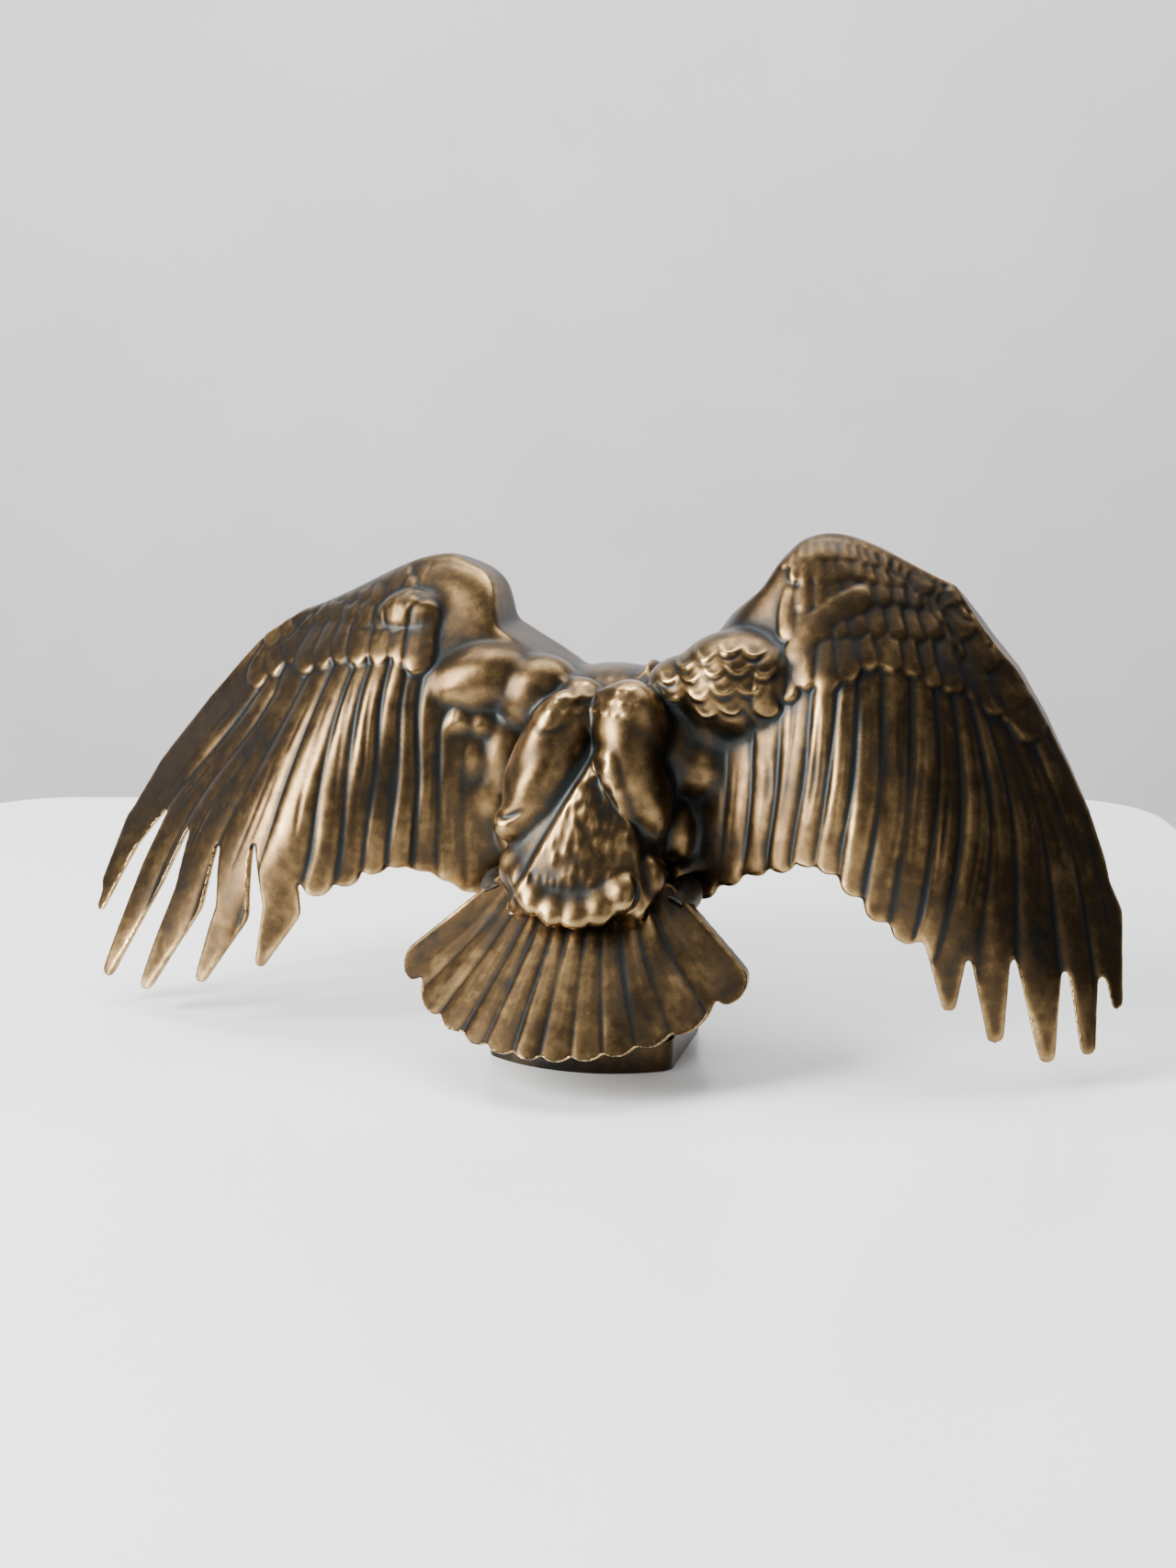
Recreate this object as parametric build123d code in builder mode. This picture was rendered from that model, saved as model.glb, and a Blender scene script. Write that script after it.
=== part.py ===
from build123d import *
import math
import os

# Eagle hood ornament, modelled as the assembly of castings and fasteners that it is.
# The bird looks along +Y, its right wing reaches along +X, and +Z is up.  The origin is the
# centre of the plinth's flat underside, which seats on the hood.  All sizes are in millimetres.

# ---------------------------------------------------------------- driving dimensions
wing_span = 290.0  # tip to tip, the overall width
wing_rise = 137.0  # height of the higher wing's wrist above the hood
seam_x = 42.0  # from the centre line to the seam between a wing and the body
solder_gap = 0.10  # clearance all round between soldered castings
wing_tenon_r = 5.0  # round tenon on the inner end of the wing's arm
wing_tenon_length = 12.0
grub_r = 1.5  # grub screw that locks each wing tenon
grub_length = 6.0

neck_spigot_r = 8.0  # spigot of the head in the neck
neck_spigot_length = 6.0

tail_width = 92.0  # across the spread tail
tail_feathers = 12
tail_wall = 3.4
tang_width = 18.0  # tang of the tail in the rump
tang_thickness = 5.0
tang_length = 13.0
tail_screw_r = 1.5
tail_screw_spacing = 9.0
tail_screw_head_r = 2.8
tail_screw_head_height = 1.8

leg_spacing = 26.0  # between the two feet, centre to centre
foot_y = 2.0  # the feet stand this far ahead of the plinth's centre
leg_tenon_r = 3.5  # tenon of each thigh in the belly
stud_r = 2.0  # leg studs, 4 mm rod
stud_grip = 9.0  # length of stud screwed into the leg
washer_r = 5.0
washer_thickness = 1.0
nut_flats = 7.0  # across the flats of the leg nuts
nut_height = 3.2
thread_past_nut = 1.3

plinth_height = 8.0
plinth_width = 50.0
plinth_length = 52.0
plinth_wall = 3.5
plinth_plate = 3.2  # thickness of the plinth's top plate
plinth_screw_r = 2.0  # screws that hold the plinth to the perch
plinth_screw_head_r = 3.6
plinth_screw_head_height = 2.4
plinth_screw_length = 11.0
plinth_screw_spacing = 32.0  # fore and aft
insert_r = 5.0  # tapped brass inserts for the two hood studs
insert_bore_r = 2.5  # tapping size of a 6 mm thread
insert_spacing = 30.0  # across the plinth

perch_height = 15.0  # rock perch, from the plinth's top to the feet
perch_width = 62.0
perch_length = 60.0
perch_roof = 4.0  # thickness of the perch over its pocket
pocket_width = 46.0
pocket_length = 42.0
hole_gap = 0.25  # radial clearance of a bolt in its hole
fit_gap = 0.05  # radial clearance of a soldered or screwed-in round

DRAWN_SPAN = 290.0  # the span that the wing nets below are drawn at
DRAWN_RISE = 137.0  # the rise that they are drawn at
FAR = 200.0  # cutters reach this far past whatever they cut

perch_top = plinth_height + perch_height

os.makedirs("parts", exist_ok=True)


def write(piece, name):
    """Label a finished piece and write it as parts/NAME.step."""
    piece.part.label = name
    export_step(piece.part, f"parts/{name}.step")
    solids = piece.part.solids()
    print(name, len(solids), "solid(s)", round(piece.part.volume), "mm3", piece.part.is_valid)


def wing_point(x, y, z):
    """A point of a wing net, stretched from the drawn size to the size asked for."""
    return Vector(x * wing_span / DRAWN_SPAN, y, z * wing_rise / DRAWN_RISE)


def tapered_span(near, far):
    """The outline round two circles, each (x, z, radius), and everything between them."""
    with BuildSketch() as span:
        for x, z, radius in (near, far):
            with Locations((x, z)):
                Circle(radius)
        make_hull()
    return span.sketch_local


def tube(centres, radii, level=Vector(0, 1, 0)):
    """A smooth solid of round sections along a line of centres, none of them turned about it."""
    with BuildPart() as solid:
        last = len(centres) - 1
        for index, centre in enumerate(centres):
            along = centres[min(index + 1, last)] - centres[max(index - 1, 0)]
            with BuildSketch(Plane(centre, x_dir=level.cross(along), z_dir=along)):
                Circle(radii[index])
        loft()
    return solid.part


# ---------------------------------------------------------------- wings
# Each wing is lofted through ribs, from inside the shoulder to the outer edge of the hand.
# A rib is the straight line from its top (x, z) to its bottom (x, z), the depth y of its rounded
# nose, and then the depth of its rear face and its thickness at each share of the line.
RIB_SHARES = (0.04, 0.13, 0.28, 0.5, 0.75, 1.0)
RIGHT_RIBS = [
    ((10, 104), (4, 26), 18, (11, 7, 5, 4, 2, 0), (15, 23, 20, 10, 6, 4)),
    ((40, 126.5), (46, 26), 20, (12, 6, -1, -7, -9, -8), (17, 24, 18, 7, 3.6, 3)),
    ((57, 137.2), (74, 20), 22, (14, 7, -5, -15, -18, -17), (16, 22, 15, 6, 3.4, 3)),
    ((80.5, 128), (106, 2), 29, (22, 12, -1, -12.5, -15, -12), (12, 17, 11, 4.8, 3.4, 3)),
    ((100, 120), (128, -2), 34, (29, 24, 14, 4, -4, -6), (8, 11, 8, 4.4, 3.3, 2.8)),
    ((114, 112), (152, -4), 38, (36, 34.5, 31, 24, 13, 2), (5, 6, 5, 4, 3.2, 2.8)),
]
LEFT_RIBS = [
    ((-10, 102.5), (-4, 26), 18, (11, 7, 5, 4, 2, 0), (15, 23, 20, 10, 6, 4)),
    ((-33, 126), (-45, 22), 20, (12, 6, -1, -7, -9, -8), (17, 24, 18, 7, 3.6, 3)),
    ((-53, 128.5), (-80, 14), 22, (15, 8, -4, -14, -18, -17), (16, 21, 14, 6, 3.4, 3)),
    ((-82, 116), (-116, -2), 29, (22, 13, 1, -11, -15, -13), (12, 16, 10, 4.8, 3.4, 3)),
    ((-107, 108), (-142, -4), 34, (29, 25, 16, 5, -3, -5), (8, 10, 7.5, 4.4, 3.3, 2.8)),
    ((-126, 102), (-170, 2), 38, (36, 34.5, 31, 24, 14, 5), (5, 6, 5, 4, 3.2, 2.8)),
]
# What the leading edge keeps to, seen from behind, as rounds (x, z, radius).  Inboard of the
# wrist they stand clear of the ribs' noses, and along the hand they trim the outer edge.
RIGHT_EDGE = [
    (12, 88, 15),
    (24, 97, 13.5),
    (34, 107.5, 7.2),
    (45.7, 119.2, 6),
    (49.7, 126.2, 6),
    (62, 122, 18),
    (76, 115, 16),
    (92, 104, 10.0),
    (100, 97, 8.6),
    (108, 86, 7.8),
    (115, 75, 6.8),
    (121, 64, 6.2),
    (126.5, 52, 5.4),
    (130.8, 41, 4.2),
    (134.6, 29, 2.6),
]
LEFT_EDGE = [
    (-10, 80, 20),
    (-18, 80, 21.5),
    (-28, 84, 23),
    (-46, 100, 18),
    (-41, 117, 10),
    (-56, 113, 19),
    (-78, 103, 16),
    (-100, 94, 11),
    (-118, 80, 7.5),
    (-134, 62, 6.5),
    (-145, 46, 5.0),
    (-150.5, 32, 2.6),
]
# Flight feathers seen from behind: (x, z, half width) at the root, the knuckle and the tip.
# The outer five of each wing are the separate fingers.
RIGHT_FEATHERS = [
    [(108, 86, 6), (133.2, 40, 3.6), (136.8, 20.6, 1.4)],
    [(102, 87, 7), (127.0, 38, 4.7), (130.3, 10.8, 1.8)],
    [(96, 88, 7), (116.3, 41, 6.7), (120.4, 9.2, 2.0)],
    [(90, 90, 7), (105.0, 41, 5.6), (107.5, 14.8, 2.2)],
    [(84, 90, 7), (95.0, 39, 5.4), (95.9, 22.8, 1.9)],
    [(78, 92, 7), (85.5, 43, 4.6)],
    [(72, 92, 7), (78.5, 48, 4.4)],
    [(67, 92, 7), (72.0, 54, 4.4)],
    [(62, 92, 7), (65.0, 59, 4.4)],
    [(57, 92, 7), (58.5, 60, 4.4)],
    [(52, 90, 7), (51.5, 57.5, 4.4)],
    [(47, 86, 7), (44.0, 54.5, 4.4)],
    [(42, 82, 7), (36.5, 50.5, 4.4)],
    [(36, 78, 8), (29.0, 45.5, 4.4)],
    [(30, 74, 9), (23.5, 42.0, 4.0)],
]
LEFT_FEATHERS = [
    [(-122, 72, 5), (-144.8, 47, 5.0), (-151.0, 25.6, 1.5)],
    [(-115, 76, 6), (-131.5, 38, 5.2), (-144.0, 9.8, 1.8)],
    [(-107, 80, 7), (-115.0, 35, 5.8), (-129.6, 8.4, 1.8)],
    [(-99, 84, 7), (-98.8, 34, 5.4), (-109.4, 14.0, 1.8)],
    [(-91, 86, 7), (-83.5, 36, 5.4), (-90.2, 20.6, 1.6)],
    [(-84, 88, 7), (-73.5, 44.5, 4.6)],
    [(-77, 88, 7), (-66.0, 47, 4.4)],
    [(-70, 88, 7), (-58.5, 50.5, 4.4)],
    [(-63, 88, 7), (-52.0, 52, 4.4)],
    [(-56, 86, 7), (-46.0, 50.5, 4.4)],
    [(-49, 82, 8), (-39.5, 47.5, 4.4)],
    [(-42, 78, 9), (-34.0, 44, 4.4)],
    [(-34, 74, 10), (-28.0, 42, 4.0)],
]
# The coverts above the flight feathers, as overlapping rounds seen from behind.
RIGHT_COVERTS = [(28, 92, 16), (45, 103, 18), (62, 110, 20), (78, 105, 18), (94, 96, 12)]
LEFT_COVERTS = [(-28, 88, 16), (-42, 98, 18), (-58, 101, 18), (-78, 96, 16), (-98, 88, 12)]


def rib_outline(rib):
    """The closed section of one rib, in its own upright plane."""
    (top_x, top_z), (bottom_x, bottom_z), nose_y, rear_ys, thicknesses = rib
    top = wing_point(top_x, 0, top_z)
    bottom = wing_point(bottom_x, 0, bottom_z)
    down = bottom - top
    plane = Plane(top, x_dir=down, z_dir=down.cross(Vector(0, 1, 0)))
    rear = [(down.length * share, y) for share, y in zip(RIB_SHARES, rear_ys)]
    front = [(at, y + thick) for (at, y), thick in zip(rear, thicknesses)]
    with BuildSketch(plane) as section:
        with BuildLine():
            skin = Spline(*reversed(rear), (0, nose_y), *front)
            Line(skin @ 1, skin @ 0)
        make_face()
    return section.sketch


def whole_wing(ribs, edge, feathers, coverts):
    """One wing before it is parted at the seam: lofted through its ribs, then cut to outline."""
    with BuildPart() as wing:
        for rib in ribs:
            add(rib_outline(rib))
        loft()
        with BuildSketch(Plane.XZ):
            for row in [*feathers, coverts, edge]:
                placed = []
                for x, z, radius in row:
                    centre = wing_point(x, 0, z)
                    placed.append((centre.X, centre.Z, radius))
                for near, far in zip(placed, placed[1:]):
                    add(tapered_span(near, far))
        extrude(amount=FAR, both=True, mode=Mode.INTERSECT)
    return wing.part


right_whole = whole_wing(RIGHT_RIBS, RIGHT_EDGE, RIGHT_FEATHERS, RIGHT_COVERTS)
left_whole = whole_wing(LEFT_RIBS, LEFT_EDGE, LEFT_FEATHERS, LEFT_COVERTS)
right_seam = wing_point(seam_x, 12, 104)  # the middle of the arm where it crosses the seam
left_seam = wing_point(-seam_x, 12, 103)


def parted_wing(whole, side, seam):
    """The wing outboard of its seam, with the round tenon that enters the body."""
    with BuildPart() as wing:
        add(whole)
        outboard = Keep.TOP if side > 0 else Keep.BOTTOM
        split(bisect_by=Plane.YZ.offset(side * seam_x), keep=outboard)
        with BuildSketch(Plane((side * seam_x, seam.Y, seam.Z), z_dir=(-side, 0, 0))):
            Circle(wing_tenon_r)
        extrude(amount=wing_tenon_length)
    return wing


right_wing = parted_wing(right_whole, 1, right_seam)
write(right_wing, "right_wing_casting")
left_wing = parted_wing(left_whole, -1, left_seam)
write(left_wing, "left_wing_casting")

# ---------------------------------------------------------------- body
# Oval sections from the rump to the neck: centre (y, z), half width and half depth.
TORSO = [
    (-21, 41, 18, 6.5),
    (-13, 53, 20, 12),
    (2, 68, 23, 20),
    (16, 78.5, 25, 22.5),
    (32, 83.5, 21, 16),
    (50, 83.5, 13, 11),
]
CAVITY = [(4, 69.5, 18, 15), (16, 78.5, 21, 18.5), (31, 83.5, 17, 12.5), (40, 83.5, 12.5, 10)]
# Lobes of the shoulder feathers that lie over the back: centres and radii.
LOBES = [
    (((-2, 2, 97), (-8, -11, 82), (-15, -15, 67), (-18, -16, 60)), (6.0, 7.5, 6.0, 3.0)),
    (((8, -1, 96), (12, -11, 83), (15, -14, 72), (16, -15, 66)), (8.0, 8.5, 6.0, 3.0)),
]


def section_plane(sections, index):
    """The plane of one oval section, square to the line through its neighbours."""
    last = len(sections) - 1
    index %= len(sections)
    before = sections[max(index - 1, 0)]
    after = sections[min(index + 1, last)]
    along = Vector(0, after[0] - before[0], after[1] - before[1])
    y, z = sections[index][:2]
    return Plane((0, y, z), x_dir=(1, 0, 0), z_dir=along)


def oval_loft(sections):
    """A smooth solid through oval sections given as (y, z, half width, half depth)."""
    with BuildPart() as solid:
        for index, (y, z, half_width, half_depth) in enumerate(sections):
            with BuildSketch(section_plane(sections, index)):
                Ellipse(half_width, half_depth)
        loft()
    return solid.part


inboard = Box(2 * seam_x, FAR, 2 * FAR)
with BuildPart() as bird:
    add(oval_loft(TORSO))
    for whole in (right_whole, left_whole):
        add(whole & inboard)
    for centres, radii in LOBES:
        add(tube([Vector(*centre) for centre in centres], radii))
bird_outside = bird.part  # the body before it is hollowed; the other castings are cut to it

SIDES = (-1, 1)
rump = section_plane(TORSO, 0)  # the end of the rump, looking up the body
neck = section_plane(TORSO, -1)  # the end of the neck, looking forward
tang_middle = rump.offset(tang_length / 2)
screw_axis = Plane(tang_middle.origin, x_dir=(1, 0, 0), z_dir=rump.y_dir)  # out of the belly
screw_seat = 6.0  # from the middle of the tang to the seat of a tail screw's head
screw_bite = tang_thickness / 2 - 1.0  # how far a tail screw passes the middle of the tang
grub_planes = [
    Plane(
        (side * (seam_x - wing_tenon_length / 2), seam.Y + wing_tenon_r, seam.Z),
        z_dir=(0, 1, 0),
    )
    for side, seam in ((-1, left_seam), (1, right_seam))
]
tenon_planes = [
    Plane((side * (leg_spacing / 2 - 1), foot_y + 7, 47), z_dir=(-0.1 * side, 0.25, 1))
    for side in SIDES
]
leg_tenon_length = 14.0  # from inside the thigh, through the belly
END_GAP = 0.3  # space at the end of a blind socket
tail_screw_xs = [side * tail_screw_spacing / 2 for side in SIDES]

with BuildPart() as body:
    add(bird_outside)
    add(oval_loft(CAVITY), mode=Mode.SUBTRACT)
    for side, seam in ((-1, left_seam), (1, right_seam)):
        with BuildSketch(Plane((side * seam_x, seam.Y, seam.Z), z_dir=(-side, 0, 0))):
            Circle(wing_tenon_r + solder_gap)
        extrude(amount=wing_tenon_length + END_GAP, mode=Mode.SUBTRACT)
    for grub_plane in grub_planes:
        with BuildSketch(grub_plane):
            Circle(grub_r + fit_gap)
        extrude(amount=3 * grub_length, mode=Mode.SUBTRACT)
    with BuildSketch(neck.offset(-neck_spigot_length - END_GAP)):
        Circle(neck_spigot_r + solder_gap)
    extrude(amount=2 * neck_spigot_length, mode=Mode.SUBTRACT)
    with BuildSketch(rump):
        Rectangle(tang_width + 2 * solder_gap, tang_thickness + 2 * solder_gap)
    extrude(amount=tang_length + END_GAP, mode=Mode.SUBTRACT)
    with BuildSketch(screw_axis):
        with Locations(*[(x, 0) for x in tail_screw_xs]):
            Circle(tail_screw_r + hole_gap)
    extrude(amount=screw_seat + 1, mode=Mode.SUBTRACT)
    with BuildSketch(screw_axis.offset(screw_seat)):
        with Locations(*[(x, 0) for x in tail_screw_xs]):
            Circle(tail_screw_head_r + hole_gap)
    extrude(amount=FAR, mode=Mode.SUBTRACT)
    for tenon_plane in tenon_planes:
        with BuildSketch(tenon_plane):
            Circle(leg_tenon_r + solder_gap)
        extrude(amount=leg_tenon_length + END_GAP, mode=Mode.SUBTRACT)
write(body, "body_casting")

with BuildPart() as wing_grub_screws:
    for grub_plane in grub_planes:
        with BuildSketch(grub_plane):
            Circle(grub_r)
        extrude(amount=grub_length)
write(wing_grub_screws, "wing_grub_screws")

# ---------------------------------------------------------------- head
HEAD = [
    (42, 83.5, 13.5, 10.8),
    (57, 83.5, 12.5, 10.4),
    (67, 83.5, 11, 9.5),
    (76, 82, 6.5, 6.8),
    (82, 78.5, 4, 5),
    (86, 72.5, 1.8, 2.2),
]
with BuildPart() as head:
    add(oval_loft(HEAD))
    split(bisect_by=neck, keep=Keep.TOP)
    with BuildSketch(neck.offset(-neck_spigot_length)):
        Circle(neck_spigot_r)
    extrude(amount=2 * neck_spigot_length)
write(head, "head_casting")

# ---------------------------------------------------------------- tail
# The net of the spread tail, left half to right half, each row from its root to past its edge.
TAIL_HALF_NET = [
    [(0, -11, 52), (0, -33, 34), (0, -59, 8)],
    [(18, -11, 50), (26, -28, 32), (34, -50, 9)],
    [(34, -9, 47), (46, -20, 32), (60, -37, 12)],
]
mirrored_rows = [[(-x, y, z) for x, y, z in row] for row in reversed(TAIL_HALF_NET[1:])]
tail_net = mirrored_rows + TAIL_HALF_NET
tail_surface = Face.make_surface_from_array_of_points(
    [[Vector(*point) for point in row] for row in tail_net], tol=0.05
)
tail_tip_r = 6.4  # rounding of each tail feather's tip
tail_corner_r = 4.0  # rounding of the outermost tips
tail_root_r = 3.5
tail_root_half = 25.0  # half the width of the fan where it leaves the rump
tail_root_z = 45.0
tail_tip_z = 18.6  # centre of the middle tip's rounding
tail_tip_lift = 8.4  # the outermost tips lie this much higher
with BuildPart() as tail:
    thicken(tail_surface, amount=tail_wall, both=False)
    with BuildSketch(Plane.XZ):
        for index in range(tail_feathers):
            spread = 2 * index / (tail_feathers - 1) - 1
            root = (spread * (tail_root_half - tail_root_r), tail_root_z, tail_root_r)
            tip_r = tail_corner_r if abs(spread) > 0.99 else tail_tip_r
            tip_x = spread * (tail_width / 2 - tip_r)
            tip_z = tail_tip_z + tail_tip_lift * abs(spread) ** 2.3
            add(tapered_span(root, (tip_x, tip_z, tip_r)))
    extrude(amount=FAR, both=True, mode=Mode.INTERSECT)
    add(bird_outside, mode=Mode.SUBTRACT)
    with BuildSketch(rump.offset(-2.0)):
        Rectangle(tang_width, tang_thickness)
    extrude(amount=2.0 + tang_length)
    with BuildSketch(screw_axis.offset(-screw_bite)):
        with Locations(*[(x, 0) for x in tail_screw_xs]):
            Circle(tail_screw_r + fit_gap)
    extrude(amount=tang_thickness, mode=Mode.SUBTRACT)
write(tail, "tail_casting")

with BuildPart() as tail_screws:
    with BuildSketch(screw_axis.offset(-screw_bite)):
        with Locations(*[(x, 0) for x in tail_screw_xs]):
            Circle(tail_screw_r)
    extrude(amount=screw_bite + screw_seat)
    with BuildSketch(screw_axis.offset(screw_seat)):
        with Locations(*[(x, 0) for x in tail_screw_xs]):
            Circle(tail_screw_head_r)
    extrude(amount=tail_screw_head_height)
write(tail_screws, "tail_screws")

# ---------------------------------------------------------------- legs
TOE_ANGLES = (60, 95, 130, 270)  # three toes ahead and one behind, in plan
TOE_LENGTH = 11.0


def one_leg(side, tenon_plane):
    """A thigh, shank and foot, cut to the belly above and the flat of the perch below."""
    x = side * leg_spacing / 2
    centres = [
        Vector(x, foot_y, perch_top),
        Vector(x, foot_y - 1, perch_top + 9),
        Vector(x, foot_y + 1, perch_top + 17),
        Vector(x - side, foot_y + 7, perch_top + 27),
        Vector(x - 2 * side, foot_y + 10, perch_top + 38),
    ]
    with BuildPart() as leg:
        add(tube(centres, (5.0, 4.6, 6.4, 9.0, 8.5)))
        add(bird_outside, mode=Mode.SUBTRACT)
        for angle in TOE_ANGLES:
            turn = math.radians(angle)
            ahead = Vector(math.cos(turn), math.sin(turn), 0)
            ankle = Vector(x, foot_y, perch_top + 2.2)
            toe = [ankle + ahead * TOE_LENGTH * share for share in (0, 0.45, 0.8, 1.0)]
            toe[3] -= Vector(0, 0, 1.0)
            add(tube(toe, (2.8, 2.4, 2.0, 0.7), level=Vector(0, 0, 1)))
        split(bisect_by=Plane.XY.offset(perch_top), keep=Keep.TOP)
        with BuildSketch(tenon_plane):
            Circle(leg_tenon_r)
        extrude(amount=leg_tenon_length)
        with BuildSketch(Plane.XY.offset(perch_top)):
            with Locations((x, foot_y)):
                Circle(stud_r + fit_gap)
        extrude(amount=stud_grip + END_GAP, mode=Mode.SUBTRACT)
    return leg


left_leg = one_leg(-1, tenon_planes[0])
write(left_leg, "left_leg_casting")
right_leg = one_leg(1, tenon_planes[1])
write(right_leg, "right_leg_casting")

stud_spots = [(side * leg_spacing / 2, foot_y) for side in SIDES]
roof_under = perch_top - perch_roof
nut_under = roof_under - washer_thickness - nut_height
with BuildPart() as leg_studs:
    with BuildSketch(Plane.XY.offset(nut_under - thread_past_nut)):
        with Locations(*stud_spots):
            Circle(stud_r)
    extrude(amount=perch_top + stud_grip - nut_under + thread_past_nut)
write(leg_studs, "leg_studs")

with BuildPart() as leg_washers:
    with BuildSketch(Plane.XY.offset(roof_under - washer_thickness)):
        with Locations(*stud_spots):
            Circle(washer_r)
            Circle(stud_r + hole_gap, mode=Mode.SUBTRACT)
    extrude(amount=washer_thickness)
write(leg_washers, "leg_washers")

with BuildPart() as leg_nuts:
    with BuildSketch(Plane.XY.offset(nut_under)):
        with Locations(*stud_spots):
            RegularPolygon(nut_flats / 2, 6, major_radius=False)
            Circle(stud_r + fit_gap, mode=Mode.SUBTRACT)
    extrude(amount=nut_height)
write(leg_nuts, "leg_nuts")

# ---------------------------------------------------------------- perch and plinth
plinth_screw_spots = [(0, side * plinth_screw_spacing / 2) for side in SIDES]
insert_spots = [(side * insert_spacing / 2, 0) for side in SIDES]
# The rock, from the plinth up: height above the plinth, and its share of the full width.
ROCK = [(0.0, 0.93), (3.5, 1.0), (9.5, 0.93), (perch_height, 0.78)]
boss_r = 4.5  # bosses in the pocket that the plinth screws bite into
with BuildPart() as perch:
    for height, share in ROCK:
        with BuildSketch(Plane.XY.offset(plinth_height + height)):
            Ellipse(share * perch_width / 2, share * perch_length / 2)
    loft()
    with BuildSketch(Plane.XY.offset(plinth_height)):
        Ellipse(pocket_width / 2, pocket_length / 2)
        with Locations(*plinth_screw_spots):
            Circle(boss_r, mode=Mode.SUBTRACT)
    extrude(amount=perch_height - perch_roof, mode=Mode.SUBTRACT)
    with BuildSketch(Plane.XY.offset(plinth_height)):
        with Locations(*plinth_screw_spots):
            Circle(plinth_screw_r + fit_gap)
    extrude(amount=plinth_screw_length - plinth_plate + 1, mode=Mode.SUBTRACT)
    with BuildSketch(Plane.XY.offset(roof_under)):
        with Locations(*stud_spots):
            Circle(stud_r + hole_gap)
    extrude(amount=perch_roof, mode=Mode.SUBTRACT)
write(perch, "perch_casting")


def plinth_outline(inset):
    """The plinth's plan: straight sides, and ends that are shallow arcs, drawn inset all round."""
    half_width = plinth_width / 2
    half_length = plinth_length / 2
    corner_y = half_length - 8
    with BuildSketch() as plan:
        with BuildLine():
            ThreePointArc((-half_width, -corner_y), (0, -half_length), (half_width, -corner_y))
            Line((half_width, -corner_y), (half_width, corner_y))
            ThreePointArc((half_width, corner_y), (0, half_length), (-half_width, corner_y))
            Line((-half_width, corner_y), (-half_width, -corner_y))
        make_face()
        fillet(plan.vertices(), radius=5)
        if inset:
            offset(amount=-inset, mode=Mode.REPLACE)
    return plan.sketch_local


seat_bar = 16.0  # width of the bar under the plinth that carries the inserts
plate_under = plinth_height - plinth_plate
with BuildPart() as plinth:
    with BuildSketch():
        add(plinth_outline(0))
    extrude(amount=plinth_height)
    with BuildSketch():
        add(plinth_outline(plinth_wall))
        SlotCenterToCenter(insert_spacing, seat_bar, mode=Mode.SUBTRACT)
    extrude(amount=plate_under, mode=Mode.SUBTRACT)
    with BuildSketch():
        with Locations(*insert_spots):
            Circle(insert_r + fit_gap)
    extrude(amount=plinth_height, mode=Mode.SUBTRACT)
    with BuildSketch(Plane.XY.offset(plate_under)):
        with Locations(*plinth_screw_spots):
            Circle(plinth_screw_r + hole_gap)
    extrude(amount=plinth_plate, mode=Mode.SUBTRACT)
write(plinth, "plinth_casting")

with BuildPart() as plinth_screws:
    with BuildSketch(Plane.XY.offset(plate_under)):
        with Locations(*plinth_screw_spots):
            Circle(plinth_screw_r)
    extrude(amount=plinth_screw_length)
    with BuildSketch(Plane.XY.offset(plate_under - plinth_screw_head_height)):
        with Locations(*plinth_screw_spots):
            Circle(plinth_screw_head_r)
    extrude(amount=plinth_screw_head_height)
write(plinth_screws, "plinth_screws")

with BuildPart() as hood_inserts:
    with BuildSketch():
        with Locations(*insert_spots):
            Circle(insert_r)
            Circle(insert_bore_r, mode=Mode.SUBTRACT)
    extrude(amount=plinth_height)
write(hood_inserts, "hood_inserts")

# ---------------------------------------------------------------- solder
# A run of solder on each side, in the corner between wing root, rump and tail.
with BuildPart() as solder_fillets:
    for side in SIDES:
        run = [Vector(side * 24, 3, 45), Vector(side * 26, -5, 44), Vector(side * 24, -14, 43)]
        add(tube(run, (3.0, 4.0, 3.0), level=Vector(0, 0, 1)))
    add(bird_outside, mode=Mode.SUBTRACT)
    add(tail.part, mode=Mode.SUBTRACT)
write(solder_fillets, "solder_fillets")
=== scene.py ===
# %% [markdown]
# # The eagle hood ornament, in antique brass
# The ornament is a heavy cast eagle that has just thrown its wings up. The metal was dipped in a
# brown patina and rubbed back by hand, so every ridge is warm gold and every valley is nearly
# black. The CAD castings carry the sizes and the fits. This lesson grows the sculptor's surface
# on copies of those castings, then finishes them with the patina.

# %% Load the frame
import bpy
import bmesh
import math
import numpy as np
from mathutils import Matrix, Vector, noise


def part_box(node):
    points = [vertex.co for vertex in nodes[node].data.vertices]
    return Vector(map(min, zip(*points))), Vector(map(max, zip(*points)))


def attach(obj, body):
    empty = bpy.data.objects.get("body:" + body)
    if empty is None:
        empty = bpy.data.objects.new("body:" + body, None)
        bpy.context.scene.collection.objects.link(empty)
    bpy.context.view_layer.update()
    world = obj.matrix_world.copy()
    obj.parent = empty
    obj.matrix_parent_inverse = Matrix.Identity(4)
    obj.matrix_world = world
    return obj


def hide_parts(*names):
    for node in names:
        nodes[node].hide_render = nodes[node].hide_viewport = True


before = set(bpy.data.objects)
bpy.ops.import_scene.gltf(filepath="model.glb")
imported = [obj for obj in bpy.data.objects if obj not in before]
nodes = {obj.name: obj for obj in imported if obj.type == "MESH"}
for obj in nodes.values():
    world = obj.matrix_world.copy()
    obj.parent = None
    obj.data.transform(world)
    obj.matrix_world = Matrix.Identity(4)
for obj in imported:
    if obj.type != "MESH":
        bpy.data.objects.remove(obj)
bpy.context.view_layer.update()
MM = 0.001  # everything below is thought of in millimetres
print("frame loaded,", len(nodes), "castings and fasteners")

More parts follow.
